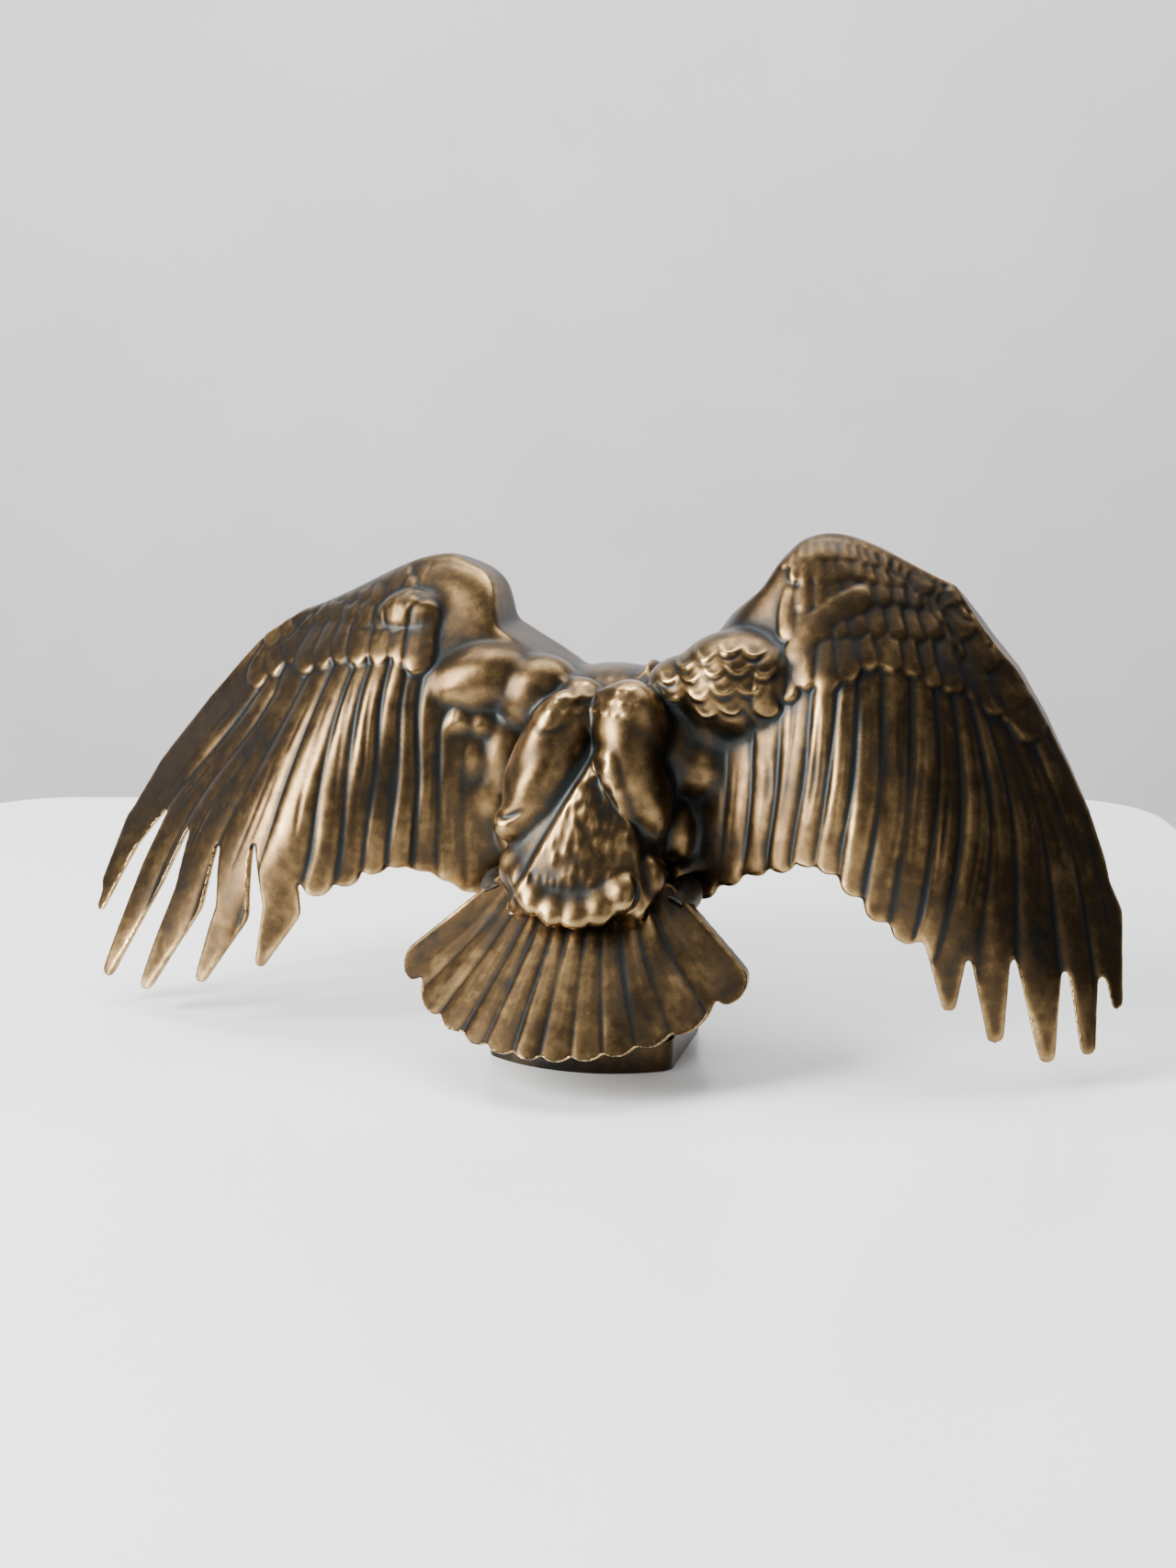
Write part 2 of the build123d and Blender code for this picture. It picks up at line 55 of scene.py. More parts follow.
# %% [markdown]
# ## The viewpoint
# The bird is seen from behind and a little from its right, from just above a table's top. The lens is
# 50 mm long and a little over half a metre away.

# %% Camera
EYE = Vector((144.1, -546.3, 190.0)) * MM
GAZE = Vector((-0.2533, 0.9453, -0.2054)).normalized()
camera_data = bpy.data.cameras.new("camera")
camera_data.lens = 50
camera_data.sensor_fit = "VERTICAL"
camera_data.sensor_height = 36
camera_data.clip_start = 0.01
camera = bpy.data.objects.new("camera", camera_data)
camera.location = EYE
camera.rotation_euler = GAZE.to_track_quat("-Z", "Y").to_euler()
bpy.context.scene.collection.objects.link(camera)
bpy.context.scene.camera = camera
AHEAD = Vector((GAZE.x, GAZE.y, 0)).normalized()
TO_RIGHT = Vector((AHEAD.y, -AHEAD.x, 0))
print("camera", [round(v / MM) for v in EYE], "mm")

# %% [markdown]
# ## Height maps for the feathers
# A feathered wing is a thick sheet, so the feathers on it can be drawn as heights over a flat
# drawing of the bird. The drawing is a grid of quarter-millimetre squares seen from behind. Each mark
# raises, lowers or replaces the height there, and later the casting's skin is pushed out by it.

# %% The drawing sheet
CELL = 0.25  # mm between points of the drawing
LEFT_EDGE, RIGHT_EDGE = -164.0, 148.0
LOW_EDGE, HIGH_EDGE = -4.0, 146.0
GRID_X = np.arange(LEFT_EDGE, RIGHT_EDGE, CELL)
GRID_Z = np.arange(LOW_EDGE, HIGH_EDGE, CELL)
LEVEL = 0.75  # height of the drawing that leaves the skin where it is, mm
FAR_OFF = 1e9  # further than any point of the drawing, mm


def new_sheet():
    """An empty drawing, height 0 everywhere."""
    return np.zeros((len(GRID_Z), len(GRID_X)))


def soften(sheet, radius):
    """The drawing rubbed soft over a radius in mm (two box averages in each direction)."""
    reach = max(1, int(round(radius / CELL)))
    for axis in (0, 1):
        for _ in range(2):
            pad = [(reach, reach) if a == axis else (0, 0) for a in (0, 1)]
            wide = np.pad(sheet, pad, mode="edge").cumsum(axis=axis)
            zero = np.zeros_like(np.take(wide, [0], axis=axis))
            wide = np.concatenate([zero, wide], axis=axis)
            size = 2 * reach + 1
            count = sheet.shape[axis]
            high = np.take(wide, np.arange(size, size + count), axis=axis)
            low = np.take(wide, np.arange(count), axis=axis)
            sheet = (high - low) / size
    return sheet


def smooth_path(points, steps):
    """A flowing curve through points, with so many steps from each to the next."""
    pts = [np.array(p, float) for p in points]
    pts = [2 * pts[0] - pts[1]] + pts + [2 * pts[-1] - pts[-2]]
    out = []
    for i in range(1, len(pts) - 2):
        a, b, c, d = pts[i - 1 : i + 3]
        for k in range(steps):
            t = k / steps
            out.append(0.5 * (2 * b + (c - a) * t + (2 * a - 5 * b + 4 * c - d) * t * t
                              + (3 * b - a - 3 * c + d) * t ** 3))
    out.append(pts[-2])
    return np.array(out)


def along_and_across(path, window):
    """For each point of a window: share of the way along the path, distance off it, and which side."""
    xs, zs = np.meshgrid(GRID_X[window[0]], GRID_Z[window[1]])
    best = np.full(xs.shape, FAR_OFF)
    share = np.zeros(xs.shape)
    side = np.zeros(xs.shape)
    lengths = np.linalg.norm(np.diff(path, axis=0), axis=1)
    total = lengths.sum()
    done = 0.0
    for start, end, length in zip(path[:-1], path[1:], lengths):
        run = (end - start) / max(length, 1e-9)
        dx, dz = xs - start[0], zs - start[1]
        t = np.clip(dx * run[0] + dz * run[1], 0, length)
        off = np.hypot(dx - run[0] * t, dz - run[1] * t)
        closer = off < best
        best = np.where(closer, off, best)
        share = np.where(closer, (done + t) / total, share)
        side = np.where(closer, dx * run[1] - dz * run[0], side)
        done += length
    return share, best, side


def window_round(path, reach):
    """The part of the sheet within reach of a path."""
    low, high = path.min(0) - reach, path.max(0) + reach
    spans = []
    for axis, edge in enumerate((LEFT_EDGE, LOW_EDGE)):
        start = max(0, int((low[axis] - edge) / CELL))
        end = max(0, int((high[axis] - edge) / CELL) + 1)
        spans.append(slice(start, end))
    return tuple(spans)


SHAFT_WIDTH = 0.35  # half width of the shaft down a short feather, mm
SHAFT_END = 0.93  # share of the feather's length where the shaft stops


def draw_plume(sheet, points, width, crown, low=0.0, high=0.0, shaft=0.0, over=True):
    """One feather with a rounded tip. It climbs from low to high along its length, like a shingle."""
    path = smooth_path(points, 8)
    window = window_round(path, width * 1.1)
    share, off, side = along_and_across(path, window)
    across = off / width
    inside = across < 1
    height = low + (high - low) * share + crown * np.sqrt(np.clip(1 - across ** 2, 0, 1))
    height = height + shaft * np.exp(-((side / SHAFT_WIDTH) ** 2)) * (share < SHAFT_END)
    view = sheet[window[1], window[0]]
    view[inside] = height[inside] if over else np.maximum(view, height)[inside]


SCATTER_X, SCATTER_Z = 0.05, 0.09  # how unevenly the tips fall, as shares of their spacing
SCATTER_LEAN = 4  # degrees
TIP_ROUND = 0.9  # how much of the half width the rounded tip adds
BOW = 0.04  # how far a short feather bows sideways, as a share of its length


def draw_row(sheet, line, aim, length, width, pitch, crown, low, high, shaft, seed):
    """A row of overlapping feathers whose tips follow a line. aim gives their lean at each end of it."""
    path = smooth_path(line, 12)
    steps = np.linalg.norm(np.diff(path, axis=0), axis=1)
    reach = np.concatenate([[0], steps.cumsum()])
    chance = np.random.default_rng(seed)
    count = max(2, int(round(reach[-1] / pitch)))
    for i in range(count + 1):
        s = i / count
        tip_x = np.interp(s * reach[-1], reach, path[:, 0]) + chance.normal(0, pitch * SCATTER_X)
        tip_z = np.interp(s * reach[-1], reach, path[:, 1]) + chance.normal(0, pitch * SCATTER_Z)
        lean = math.radians(aim[0] + (aim[1] - aim[0]) * s + chance.normal(0, SCATTER_LEAN))
        run = np.array([math.sin(lean), -math.cos(lean)])
        tip = np.array([tip_x, tip_z]) - run * width * TIP_ROUND
        root = tip - run * (length - width * TIP_ROUND)
        middle = (tip + root) / 2 + np.array([run[1], -run[0]]) * length * BOW
        own_width = width * chance.uniform(0.92, 1.08)
        draw_plume(sheet, (root, middle, tip), own_width, crown, low, high, shaft)


ROLL_FLATNESS = 3.0  # the higher, the flatter a long feather's top and the sharper its valleys
FIELD_MARGIN = 14  # how far the long feathers reach past the outermost spines, mm


def quill_field(quills, crown, tilt):
    """Long flight feathers side by side, each a flat-topped roll with a sharp valley to the next one."""
    low = min(p[0] for q in quills for p in q) - FIELD_MARGIN
    high = max(p[0] for q in quills for p in q) + FIELD_MARGIN
    cols = slice(max(0, int((low - LEFT_EDGE) / CELL)), int((high - LEFT_EDGE) / CELL))
    window = (cols, slice(0, len(GRID_Z)))
    chance = np.random.default_rng(3)
    first = second = None
    for quill in quills:
        path = smooth_path(quill, 10)
        share, off, side = along_and_across(path, window)
        off = off * chance.uniform(0.88, 1.12)
        waves = chance.uniform(0, 6.28, 3)
        # a slow and a quick swell along its length
        swell = 0.72 + 0.3 * np.sin(share * 5 + waves[0]) + 0.18 * np.sin(share * 12 + waves[1])
        lean = tilt * np.sign(side) * chance.uniform(0.2, 1.0)
        if first is None:
            first, second, height, slope = off, np.full(off.shape, FAR_OFF), swell, lean
            continue
        second = np.minimum(second, np.maximum(first, off))
        nearer = off < first
        first = np.where(nearer, off, first)
        height = np.where(nearer, swell, height)
        slope = np.where(nearer, lean, slope)
    across = np.clip(2 * first / (first + second), 0, 1)
    sheet = new_sheet()
    sheet[:, cols] = crown * height * (1 - across ** ROLL_FLATNESS) + slope * across
    return sheet


print("sheet", new_sheet().shape)

# %% [markdown]
# ## Flight feathers
# Five long primaries part into fingers at each wing's tip, and shorter secondaries fill the inside.
# On the casting they are long soft rolls with sharp valleys, so a line down the middle of each
# one is enough: the valley falls about halfway between two lines.

# %% Spines of the flight feathers, root to tip, x and z in mm
RIGHT_QUILLS = [
    ((106, 100), (113.3, 87.2), (124, 65.1), (131.1, 41.9), (136.8, 20.6)),
    ((102, 102), (108.1, 90.2), (118.5, 66.1), (125.2, 42.1), (130.3, 10.8)),
    ((98, 103), (103, 92.1), (112, 68.9), (116.4, 44.4), (120.4, 9.2)),
    ((94, 105), (98.2, 95.2), (106, 71.4), (108.2, 50), (107.5, 14.8)),
    ((91, 107), (94.9, 97.3), (100.6, 70.5), (99.5, 46.6), (95.9, 22.8)),
    ((87.5, 109), (90.6, 98), (94.6, 73.9), (92.6, 51.5), (89.5, 38)),
    ((84, 110), (85.8, 99.5), (88.4, 79.1), (86.4, 51.6), (84.5, 41)),
    ((78.5, 111), (79.6, 100.5), (81.4, 74.9), (78.9, 56.1), (77.5, 46)),
    ((72, 111), (72.7, 102), (73.9, 83.9), (72.4, 65.3), (71, 52)),
    ((67, 110), (67.4, 101.6), (66.9, 79), (64.7, 61.6), (64, 55)),
    ((61.5, 108), (61.9, 99.7), (61.2, 78.5), (58.4, 59.9), (58, 56)),
    ((54, 106), (54.6, 97.3), (53.8, 77.6), (51.2, 59.7), (51, 54)),
    ((46, 98), (46.2, 84), (46.4, 71.5), (44.6, 52.7), (44.4, 50)),
    ((39.5, 90), (39.6, 73.7), (38.6, 58), (37.4, 48)),
    ((32, 82), (32.4, 72), (31, 52), (30, 44)),
    ((25.5, 76), (26, 66), (24.4, 48), (24, 40)),
]
LEFT_QUILLS = [
    ((-106, 91), (-118.3, 75.5), (-140, 51), (-150, 36), (-152.5, 24)),
    ((-99, 91), (-106.3, 79.1), (-125.5, 57), (-136.3, 38), (-144, 9.8)),
    ((-90, 96), (-96.2, 82.3), (-111.2, 59.9), (-119.3, 40.3), (-129.6, 8.4)),
    ((-79, 100), (-82.6, 88), (-90.6, 64), (-98.4, 44.4), (-109.4, 14)),
    ((-71, 100), (-74, 86), (-78, 66.1), (-81, 48.1), (-90.2, 20.6)),
    ((-66, 102), (-67.4, 92.3), (-68.5, 73.8), (-69.4, 52.6), (-72, 42)),
    ((-60, 103), (-60.8, 92), (-61, 73.9), (-63, 52.6), (-64.5, 44)),
    ((-54, 104), (-54.8, 92), (-54.4, 73.9), (-57, 56.9), (-58, 47)),
    ((-49.5, 102), (-49.9, 92), (-48.8, 73.9), (-50.4, 56), (-51, 47)),
    ((-44, 98), (-44.6, 88), (-43.6, 69.5), (-44.6, 49.4), (-45, 44)),
    ((-38, 84), (-38.5, 65), (-38, 46.4), (-38.4, 42)),
    ((-31, 78), (-31.4, 62), (-31, 43), (-31.4, 38)),
]
QUILL_CROWN = 1.0  # height of a feather's spine over the valley beside it, mm
QUILL_TILT = 0.25  # how far a feather's edge can stand over or under the next one, mm
right_field = quill_field(RIGHT_QUILLS, QUILL_CROWN, QUILL_TILT)
left_field = quill_field(LEFT_QUILLS, QUILL_CROWN, QUILL_TILT)
back_sheet = np.maximum(right_field, left_field)
print("flight feathers", len(RIGHT_QUILLS) + len(LEFT_QUILLS))

# %% [markdown]
# ## Barbs and splits
# A few fine lines are scored down each feather, as if with a tool. They follow the feather.

# %% Scored lines beside the spines
SCORES = 3  # lines tried on each feather
SCORE_DEPTH, SCORE_WIDTH = 0.22, 0.32
SCORE_SHIFT = 1.9  # furthest from the spine, mm
chance = np.random.default_rng(7)
for quills in (RIGHT_QUILLS, LEFT_QUILLS):
    for quill in quills:
        for _ in range(SCORES):
            path = smooth_path(quill, 10)
            start = chance.integers(4, max(5, int(len(path) * 0.5)))
            end = min(len(path) - 2, start + chance.integers(8, 18))
            if end - start < 4:
                continue
            shift = chance.uniform(-SCORE_SHIFT, SCORE_SHIFT)
            piece = path[start:end] + np.array([shift, 0])
            window = window_round(piece, 0.8)
            share, off, _ = along_and_across(piece, window)
            fade = np.sqrt(np.clip(np.sin(np.pi * share), 0, 1))
            depth = SCORE_DEPTH * np.exp(-((off / SCORE_WIDTH) ** 2)) * fade
            back_sheet[window[1], window[0]] -= depth
FRONT_QUILLS = 0.8  # the long feathers are shallower on the front of the wings
front_sheet = back_sheet * FRONT_QUILLS

# %% [markdown]
# ## Coverts
# Coverts are the short feathers that cover the roots of the long ones. They lie in rows like roof
# shingles, each row stepping over the one below, and they shrink toward the leading edge until
# they are fish scales at the wrist. The rows are drawn from the lowest up, each over the last.

# %% Rows of coverts, lowest first: tip line, lean at its ends, length, half width, spacing, crown
RIGHT_ROWS = [
    (((46, 94), (51, 97), (61.7, 100.6), (69, 103.4), (75, 105), (81.5, 104), (88.1, 100.4), (95.3, 98),
      (103.7, 93.6), (108.5, 90.2), (113, 85.5)), (-8, 32), 15, 3.3, 5.6, 0.5),
    (((50, 111.5), (60.4, 112.1), (68.9, 112.1), (75.1, 112.8), (81.3, 112.4), (87.5, 111.4), (93, 109.2),
      (99, 104.7), (104.9, 98.8), (109, 93)), (-6, 40), 11, 2.9, 4.9, 0.45),
    (((54, 118.5), (64, 119.5), (72, 119.6), (80, 118.9), (88, 116.6), (95, 110.8), (101, 104)),
     (0, 42), 9, 2.4, 4.1, 0.4),
    (((50, 125), (58, 125.5), (66, 125.7), (74, 124.7), (82, 122.4), (90, 116.5), (95, 112)),
     (4, 44), 7.5, 2.0, 3.5, 0.36),
    (((46, 129), (54, 130.8), (62, 131), (70, 129.9), (77, 127.4), (84, 122.4)), (6, 44), 6, 1.7, 2.9, 0.32),
    (((48, 133.4), (56, 135), (64, 134.8), (71, 132.8)), (6, 40), 5, 1.5, 2.6, 0.3),
]
LEFT_ROWS = [
    (((-108, 92.5), (-102, 95), (-97.2, 96), (-85.1, 98.1), (-75.4, 99.3), (-68.4, 100.6), (-61.2, 101.1),
      (-53.8, 101.3), (-48, 99.2)), (-38, 6), 14, 4.1, 7.2, 0.55),
    (((-104, 101), (-94.8, 106.1), (-86.7, 108.7), (-77.6, 110.1), (-69.9, 110.3), (-63.2, 110.5),
      (-57.2, 108.8)), (-40, 2), 11, 3.6, 6.2, 0.5),
    (((-96, 108), (-88, 112.5), (-80, 114.3), (-71, 115), (-62, 115.4)), (-40, -6), 9, 2.9, 5.0, 0.42),
    (((-86, 115.5), (-80, 118), (-73, 119.3), (-66, 119.8)), (-40, -14), 7.5, 2.3, 4.1, 0.3),
]
ROW_ROOT, ROW_STEP, ROW_SHAFT = 0.3, 0.75, 0.08  # heights of a covert's root, its climb and its shaft, mm
ROW_FADE, ROW_FAINTEST = 0.13, 0.4
FRONT_ROWS = 0.85
for sheet, scale in ((back_sheet, 1.0), (front_sheet, FRONT_ROWS)):
    for rows in (RIGHT_ROWS, LEFT_ROWS):
        for number, (line, aim, length, width, pitch, crown) in enumerate(rows):
            # rows near the leading edge are worn away
            faint = max(ROW_FAINTEST, 1.0 - ROW_FADE * number) * scale
            tip_height = ROW_ROOT + ROW_STEP * faint
            draw_row(sheet, line, aim, length, width, pitch, crown * faint, ROW_ROOT, tip_height,
                     ROW_SHAFT, number + 3)
print("covert rows", len(RIGHT_ROWS) + len(LEFT_ROWS))

# %% [markdown]
# ## The back
# Between the wings the feathers turn into soft folds: crescents on the right shoulder, a few hackle
# scales below the neck, and a wedge of tail coverts that ends in six round lobes over the tail.

# %% Marks on the back
# the flight feathers die away into the soft flanks
FLANK, FLANK_FADE = 24, 26
edge = np.clip((np.abs(GRID_X) - FLANK) / FLANK_FADE, 0, 1)
edge = edge * edge * (3 - 2 * edge)
back_sheet = LEVEL + (back_sheet - LEVEL) * edge[None, :]
# the smooth fold of skin in the right wing's elbow
draw_plume(back_sheet, ((53, 109), (56.2, 113.7), (61, 118.4), (67, 121.4)), 3.4, 0.5, 0.9, 1.0, over=False)


def press_line(sheet, points, radius, height):
    """A soft ridge, or with a height below zero a soft groove, along a line."""
    path = smooth_path(points, 8)
    window = window_round(path, radius * 2.6)
    share, off, _ = along_and_across(path, window)
    fade = np.sqrt(np.sin(np.pi * np.clip(share, 0.02, 0.98)))
    sheet[window[1], window[0]] += height * np.exp(-((off / radius) ** 2)) * fade


# crescents on the right shoulder: thin curved lips, each with a shallow groove just below it
LIP = ((-3.2, 1.5), (-1.4, -0.5), (1.0, -0.6), (2.8, 1.1))
LIP_RADIUS, LIP_HEIGHT = 0.55, 0.62
GROOVE_RADIUS, GROOVE_HEIGHT = 0.6, -0.35
SHOULDER_SCALES = [
    (24, 105), (30, 107.5), (36.5, 109.5), (43, 109),
    (20, 101), (26.5, 102), (33, 104), (39.5, 105), (46, 104),
    (22, 96.5), (29, 97.5), (36, 99.5), (42.5, 100),
    (31, 93), (38, 94.5),
]
for x, z in SHOULDER_SCALES:
    lip = [(x + a, z + b) for a, b in LIP]
    press_line(back_sheet, lip, LIP_RADIUS, LIP_HEIGHT)
    press_line(back_sheet, [(a + 0.2, b - 1.1) for a, b in lip], GROOVE_RADIUS, GROOVE_HEIGHT)
# hackles under the nape
for row, z in enumerate((93, 96, 99, 102)):
    for step in range(-3, 4):
        x = 2 + step * 3.4 + (row % 2) * 1.7
        press_line(back_sheet, ((x - 1.3, z + 0.9), (x, z), (x + 1.3, z + 0.9)), 0.5, 0.35)
# the wedge of tail coverts, standing a little proud with soft borders
WEDGE_TOP, WEDGE_FOOT = 84, 40
WEDGE_HEIGHT, WEDGE_BORDER = 1.3, 2.8


def wedge_middle(z):
    """The middle line of the wedge, which leans a little."""
    return 6.8 - (WEDGE_TOP - z) * 0.13


def wedge_half(z):
    """Half the width of the wedge, which widens downward."""
    return 2.5 + (WEDGE_TOP - z) * 0.40


xs, zs = np.meshgrid(GRID_X, GRID_Z)
inward = wedge_half(zs) - np.abs(xs - wedge_middle(zs))
wedge = np.clip(inward / WEDGE_BORDER + 0.5, 0, 1) * np.clip((86 - zs) / 4, 0, 1) * (zs > WEDGE_FOOT)
back_sheet += WEDGE_HEIGHT * wedge * wedge * (3 - 2 * wedge)
# hammered marks all over the wedge
DIMPLES, DIMPLE_HEIGHT = 110, 0.30
chance = np.random.default_rng(21)
for _ in range(DIMPLES):
    z = chance.uniform(50, 80)
    x = wedge_middle(z) + chance.uniform(-0.9, 0.9) * wedge_half(z)
    radius = chance.uniform(1.1, 2.0)
    press_line(back_sheet, ((x - 0.6, z), (x + 0.6, z)), radius, DIMPLE_HEIGHT)
# creases across the left fold of the back
press_line(back_sheet, ((-25, 68), (-20, 65.6), (-14, 68)), 0.7, -0.8)
press_line(back_sheet, ((-14, 90), (-9, 88), (-3, 90)), 0.9, -0.4)

# %% [markdown]
# The breast is covered in plain overlapping scales. They are drawn on the sheet for the front.

# %% Breast scales
BREAST_ROWS, BREAST_FOOT, BREAST_HALF = 22, 34, 28
for row in range(BREAST_ROWS):
    z = BREAST_FOOT + row * 3.1
    for step in range(-9, 10):
        x = step * 3.6 + (row % 2) * 1.8
        if abs(x) < BREAST_HALF:
            draw_plume(front_sheet, ((x, z + 4.4), (x, z + 2), (x, z)), 2.1, 0.35, 0.25, 0.95, 0.08)
BLUR = 0.35  # mm
back_sheet = soften(back_sheet, BLUR)
front_sheet = soften(front_sheet, BLUR)
print("tallest mark", round(float(back_sheet.max()), 2), "mm")


# %% [markdown]
# ## From casting to clay
# A CAD casting is triangles of every size. A copy of it, with the sculptor's lumps of clay pressed on, is
# rebuilt as one even skin of small squares. That skin can then be pushed and pulled.

# %% Clay tools
JOIN = 0.002 * MM  # corners closer than this become one


def take_copy(*names):
    """A free copy of one or more castings with their loose triangles joined up."""
    clay = bmesh.new()
    for name in names:
        clay.from_mesh(nodes[name].data)
    bmesh.ops.remove_doubles(clay, verts=clay.verts, dist=JOIN)
    return clay


def press_on(clay, centre, radii, lean=0.0, pitch=0.0):
    """A rounded lump of clay at a place in mm, leaning sideways and pitched back by degrees."""
    turn = Matrix.Rotation(math.radians(lean), 4, "Y") @ Matrix.Rotation(math.radians(pitch), 4, "X")
    size = Matrix.Diagonal((radii[0] * MM, radii[1] * MM, radii[2] * MM, 1))
    place = Matrix.Translation(Vector(centre) * MM)
    bmesh.ops.create_icosphere(clay, subdivisions=4, radius=1, matrix=place @ turn @ size)


def make_skin(name, clay, square):
    """The clay rebuilt as one even skin of small squares, as a new object."""
    mesh = bpy.data.meshes.new(name)
    clay.to_mesh(mesh)
    clay.free()
    mesh.materials.clear()
    piece = bpy.data.objects.new(name, mesh)
    bpy.context.scene.collection.objects.link(piece)
    skin = piece.modifiers.new("skin", "REMESH")
    skin.mode = "VOXEL"
    skin.voxel_size = square * MM * 1.0
    bpy.context.view_layer.update()
    ready = bpy.data.meshes.new_from_object(piece.evaluated_get(bpy.context.evaluated_depsgraph_get()))
    piece.modifiers.clear()
    piece.data = ready
    return piece


def points_of(mesh, what="co"):
    """Where each point of a mesh is, or which way it faces."""
    flat = np.zeros(len(mesh.vertices) * 3, np.float32)
    mesh.vertices.foreach_get(what, flat)
    return flat.reshape(-1, 3).astype(float)


def put_points(mesh, points):
    """Moves each point of a mesh to its new place."""
    mesh.vertices.foreach_set("co", points.astype(np.float32).ravel())
    mesh.update()


def edges_of(mesh):
    """The two ends of each edge of a mesh."""
    flat = np.zeros(len(mesh.edges) * 2, np.int32)
    mesh.edges.foreach_get("vertices", flat)
    return flat.reshape(-1, 2)


def rub(values, edges, times, amount=0.6):  # amount is the share of the way toward the average
    """Averages each point with its neighbours, again and again."""
    count = len(values)
    share = np.maximum(np.bincount(edges.ravel(), minlength=count), 1)
    values = values.copy()
    columns = values.reshape(count, -1)
    for _ in range(times):
        for c in range(columns.shape[1]):
            total = np.bincount(edges[:, 0], weights=columns[edges[:, 1], c], minlength=count)
            total += np.bincount(edges[:, 1], weights=columns[edges[:, 0], c], minlength=count)
            columns[:, c] += amount * (total / share - columns[:, c])
    return columns.reshape(values.shape)


def read_sheet(sheet, x, z):
    """Height of the drawing at places in mm, between its grid points."""
    u = np.clip((x - LEFT_EDGE) / CELL, 0, len(GRID_X) - 1.001)
    v = np.clip((z - LOW_EDGE) / CELL, 0, len(GRID_Z) - 1.001)
    i, j = u.astype(int), v.astype(int)
    fu, fv = u - i, v - j
    return ((1 - fu) * (1 - fv) * sheet[j, i] + fu * (1 - fv) * sheet[j, i + 1]
            + (1 - fu) * fv * sheet[j + 1, i] + fu * fv * sheet[j + 1, i + 1])


def emboss(piece, back, front):
    """Pushes the skin out by the height of the drawing, less the level that leaves it where it is."""
    mesh = piece.data
    spots = points_of(mesh)
    facing = points_of(mesh, "normal")
    edges = edges_of(mesh)
    facing = rub(facing, edges, 4)
    facing /= np.maximum(np.linalg.norm(facing, axis=1, keepdims=True), 1e-9)
    x, z = spots[:, 0] / MM, spots[:, 2] / MM
    square_on = np.clip((np.abs(facing[:, 1]) - 0.12) / 0.4, 0, 1)
    height = np.where(facing[:, 1] < 0, read_sheet(back, x, z), read_sheet(front, x, z)) - LEVEL
    put_points(mesh, spots + facing * (height * square_on * MM)[:, None])


FINE_RUBS, BROAD_RUBS = 8, 60


def note_wear_and_shade(piece):
    """Marks each point: wear is above zero where rubbing hands reach it and below zero in a small hollow;
    hollow, over a broad reach, is below zero in a broad recess, where it paints shade.
    """
    mesh = piece.data
    edges = edges_of(mesh)
    spots = points_of(mesh)
    # wear is the rubbed-back patina; hollow is painted shade in broad recesses, and also marks where the
    # green bloom grows
    for name, times in (("wear", FINE_RUBS), ("hollow", BROAD_RUBS)):
        calm = rub(spots, edges, times)
        facing = points_of(mesh, "normal")
        lift = ((spots - calm) * facing).sum(1) / MM
        lift = rub(lift, edges, 2)
        spread = np.sqrt((lift ** 2).mean()) + 1e-6
        layer = mesh.attributes.new(name, "FLOAT", "POINT")
        layer.data.foreach_set("value", np.clip(lift / (2.2 * spread), -1.6, 0.9).astype(np.float32))
    mesh.shade_smooth()


# %% [markdown]
# ## Body and wings
# These three castings flow into one another, so they are modelled together and parted again at the
# seams. The lumps are the shoulder muscles, the rolled feathers beside them and the folds of the back.

# %% Lumps on the body: centre, radii, lean
LUMPS = [
    ((37, 4, 99), (17.5, 14.5, 14.5), 0),  # right shoulder
    ((22, 6, 97), (10, 11, 9), 0),
    ((30, 2.5, 88), (8, 7, 8), 0),
    ((27, 2, 78), (8, 8, 9), 0),
    ((37, 2, 75), (8, 5, 7), 0),
    ((20, 2, 82), (8, 10, 14), 0),
    ((13, -8.5, 90), (8.5, 8.5, 12), -22),  # folds right of the spine
    ((16.5, -10, 73), (6.2, 9, 12.5), -14),
    ((-12.5, -9.5, 80), (7.5, 9, 20), 24),  # the long roll left of the spine
    ((-18.8, -15.5, 63), (5.6, 5.5, 5), 0),
    ((-33, 5, 97), (17.5, 11.5, 10.5), -10),  # left shoulder
    ((-17, 4, 94), (12, 11, 11), -35),
    ((-36, 1, 77), (10, 7.5, 11), 0),
    ((-39.5, 0, 86), (6, 6, 5), 0),
    ((-30, 1, 66), (8, 7, 10), 0),
    ((-25, 2, 76), (8, 8, 16), 0),
    ((-52, 13, 112), (13, 8, 9), 0),
    ((-47.8, 1.5, 93), (4.6, 4.6, 4.4), 0),  # rolled feathers under the left shoulder
    ((-42.8, 0.6, 89.4), (4.6, 4.6, 4.2), 0),
    ((-36.8, -1.4, 87.4), (4.6, 4.8, 4.2), 0),
    ((-30.8, -1, 86.4), (4.4, 4.8, 4), 0),
    ((18, -16.5, 50.5), (5, 5, 7), 12),
    ((-17.5, -16, 50.5), (5, 5, 7), -12),
    ((-22, 1, 58), (6, 8, 9), 0),  # flanks
    ((22, 1, 60), (6, 8, 9), 0),
]
TAIL_LOBES = [
    (-14, -21.5, 51), (-9.5, -24.3, 46.8), (-4, -25.8, 44.3),
    (2, -26.2, 43.8), (7.8, -25.6, 45.3), (13, -23.8, 49),
]
LOBE_RADII, LOBE_PITCH = (3.9, 2.7, 5.6), -38
BIRD_SQUARE, TAIL_SQUARE, FINE_SQUARE, ROCK_SQUARE = 0.55, 0.42, 0.3, 0.55  # sizes of the skins' squares, mm
clay = take_copy("body_casting", "left_wing_casting", "right_wing_casting")
for centre in TAIL_LOBES:
    press_on(clay, centre, LOBE_RADII, centre[0] * -1.2, LOBE_PITCH)
for centre, radii, lean in LUMPS:
    press_on(clay, centre, radii, lean)
bird = make_skin("bird_skin", clay, BIRD_SQUARE)
spots = points_of(bird.data)
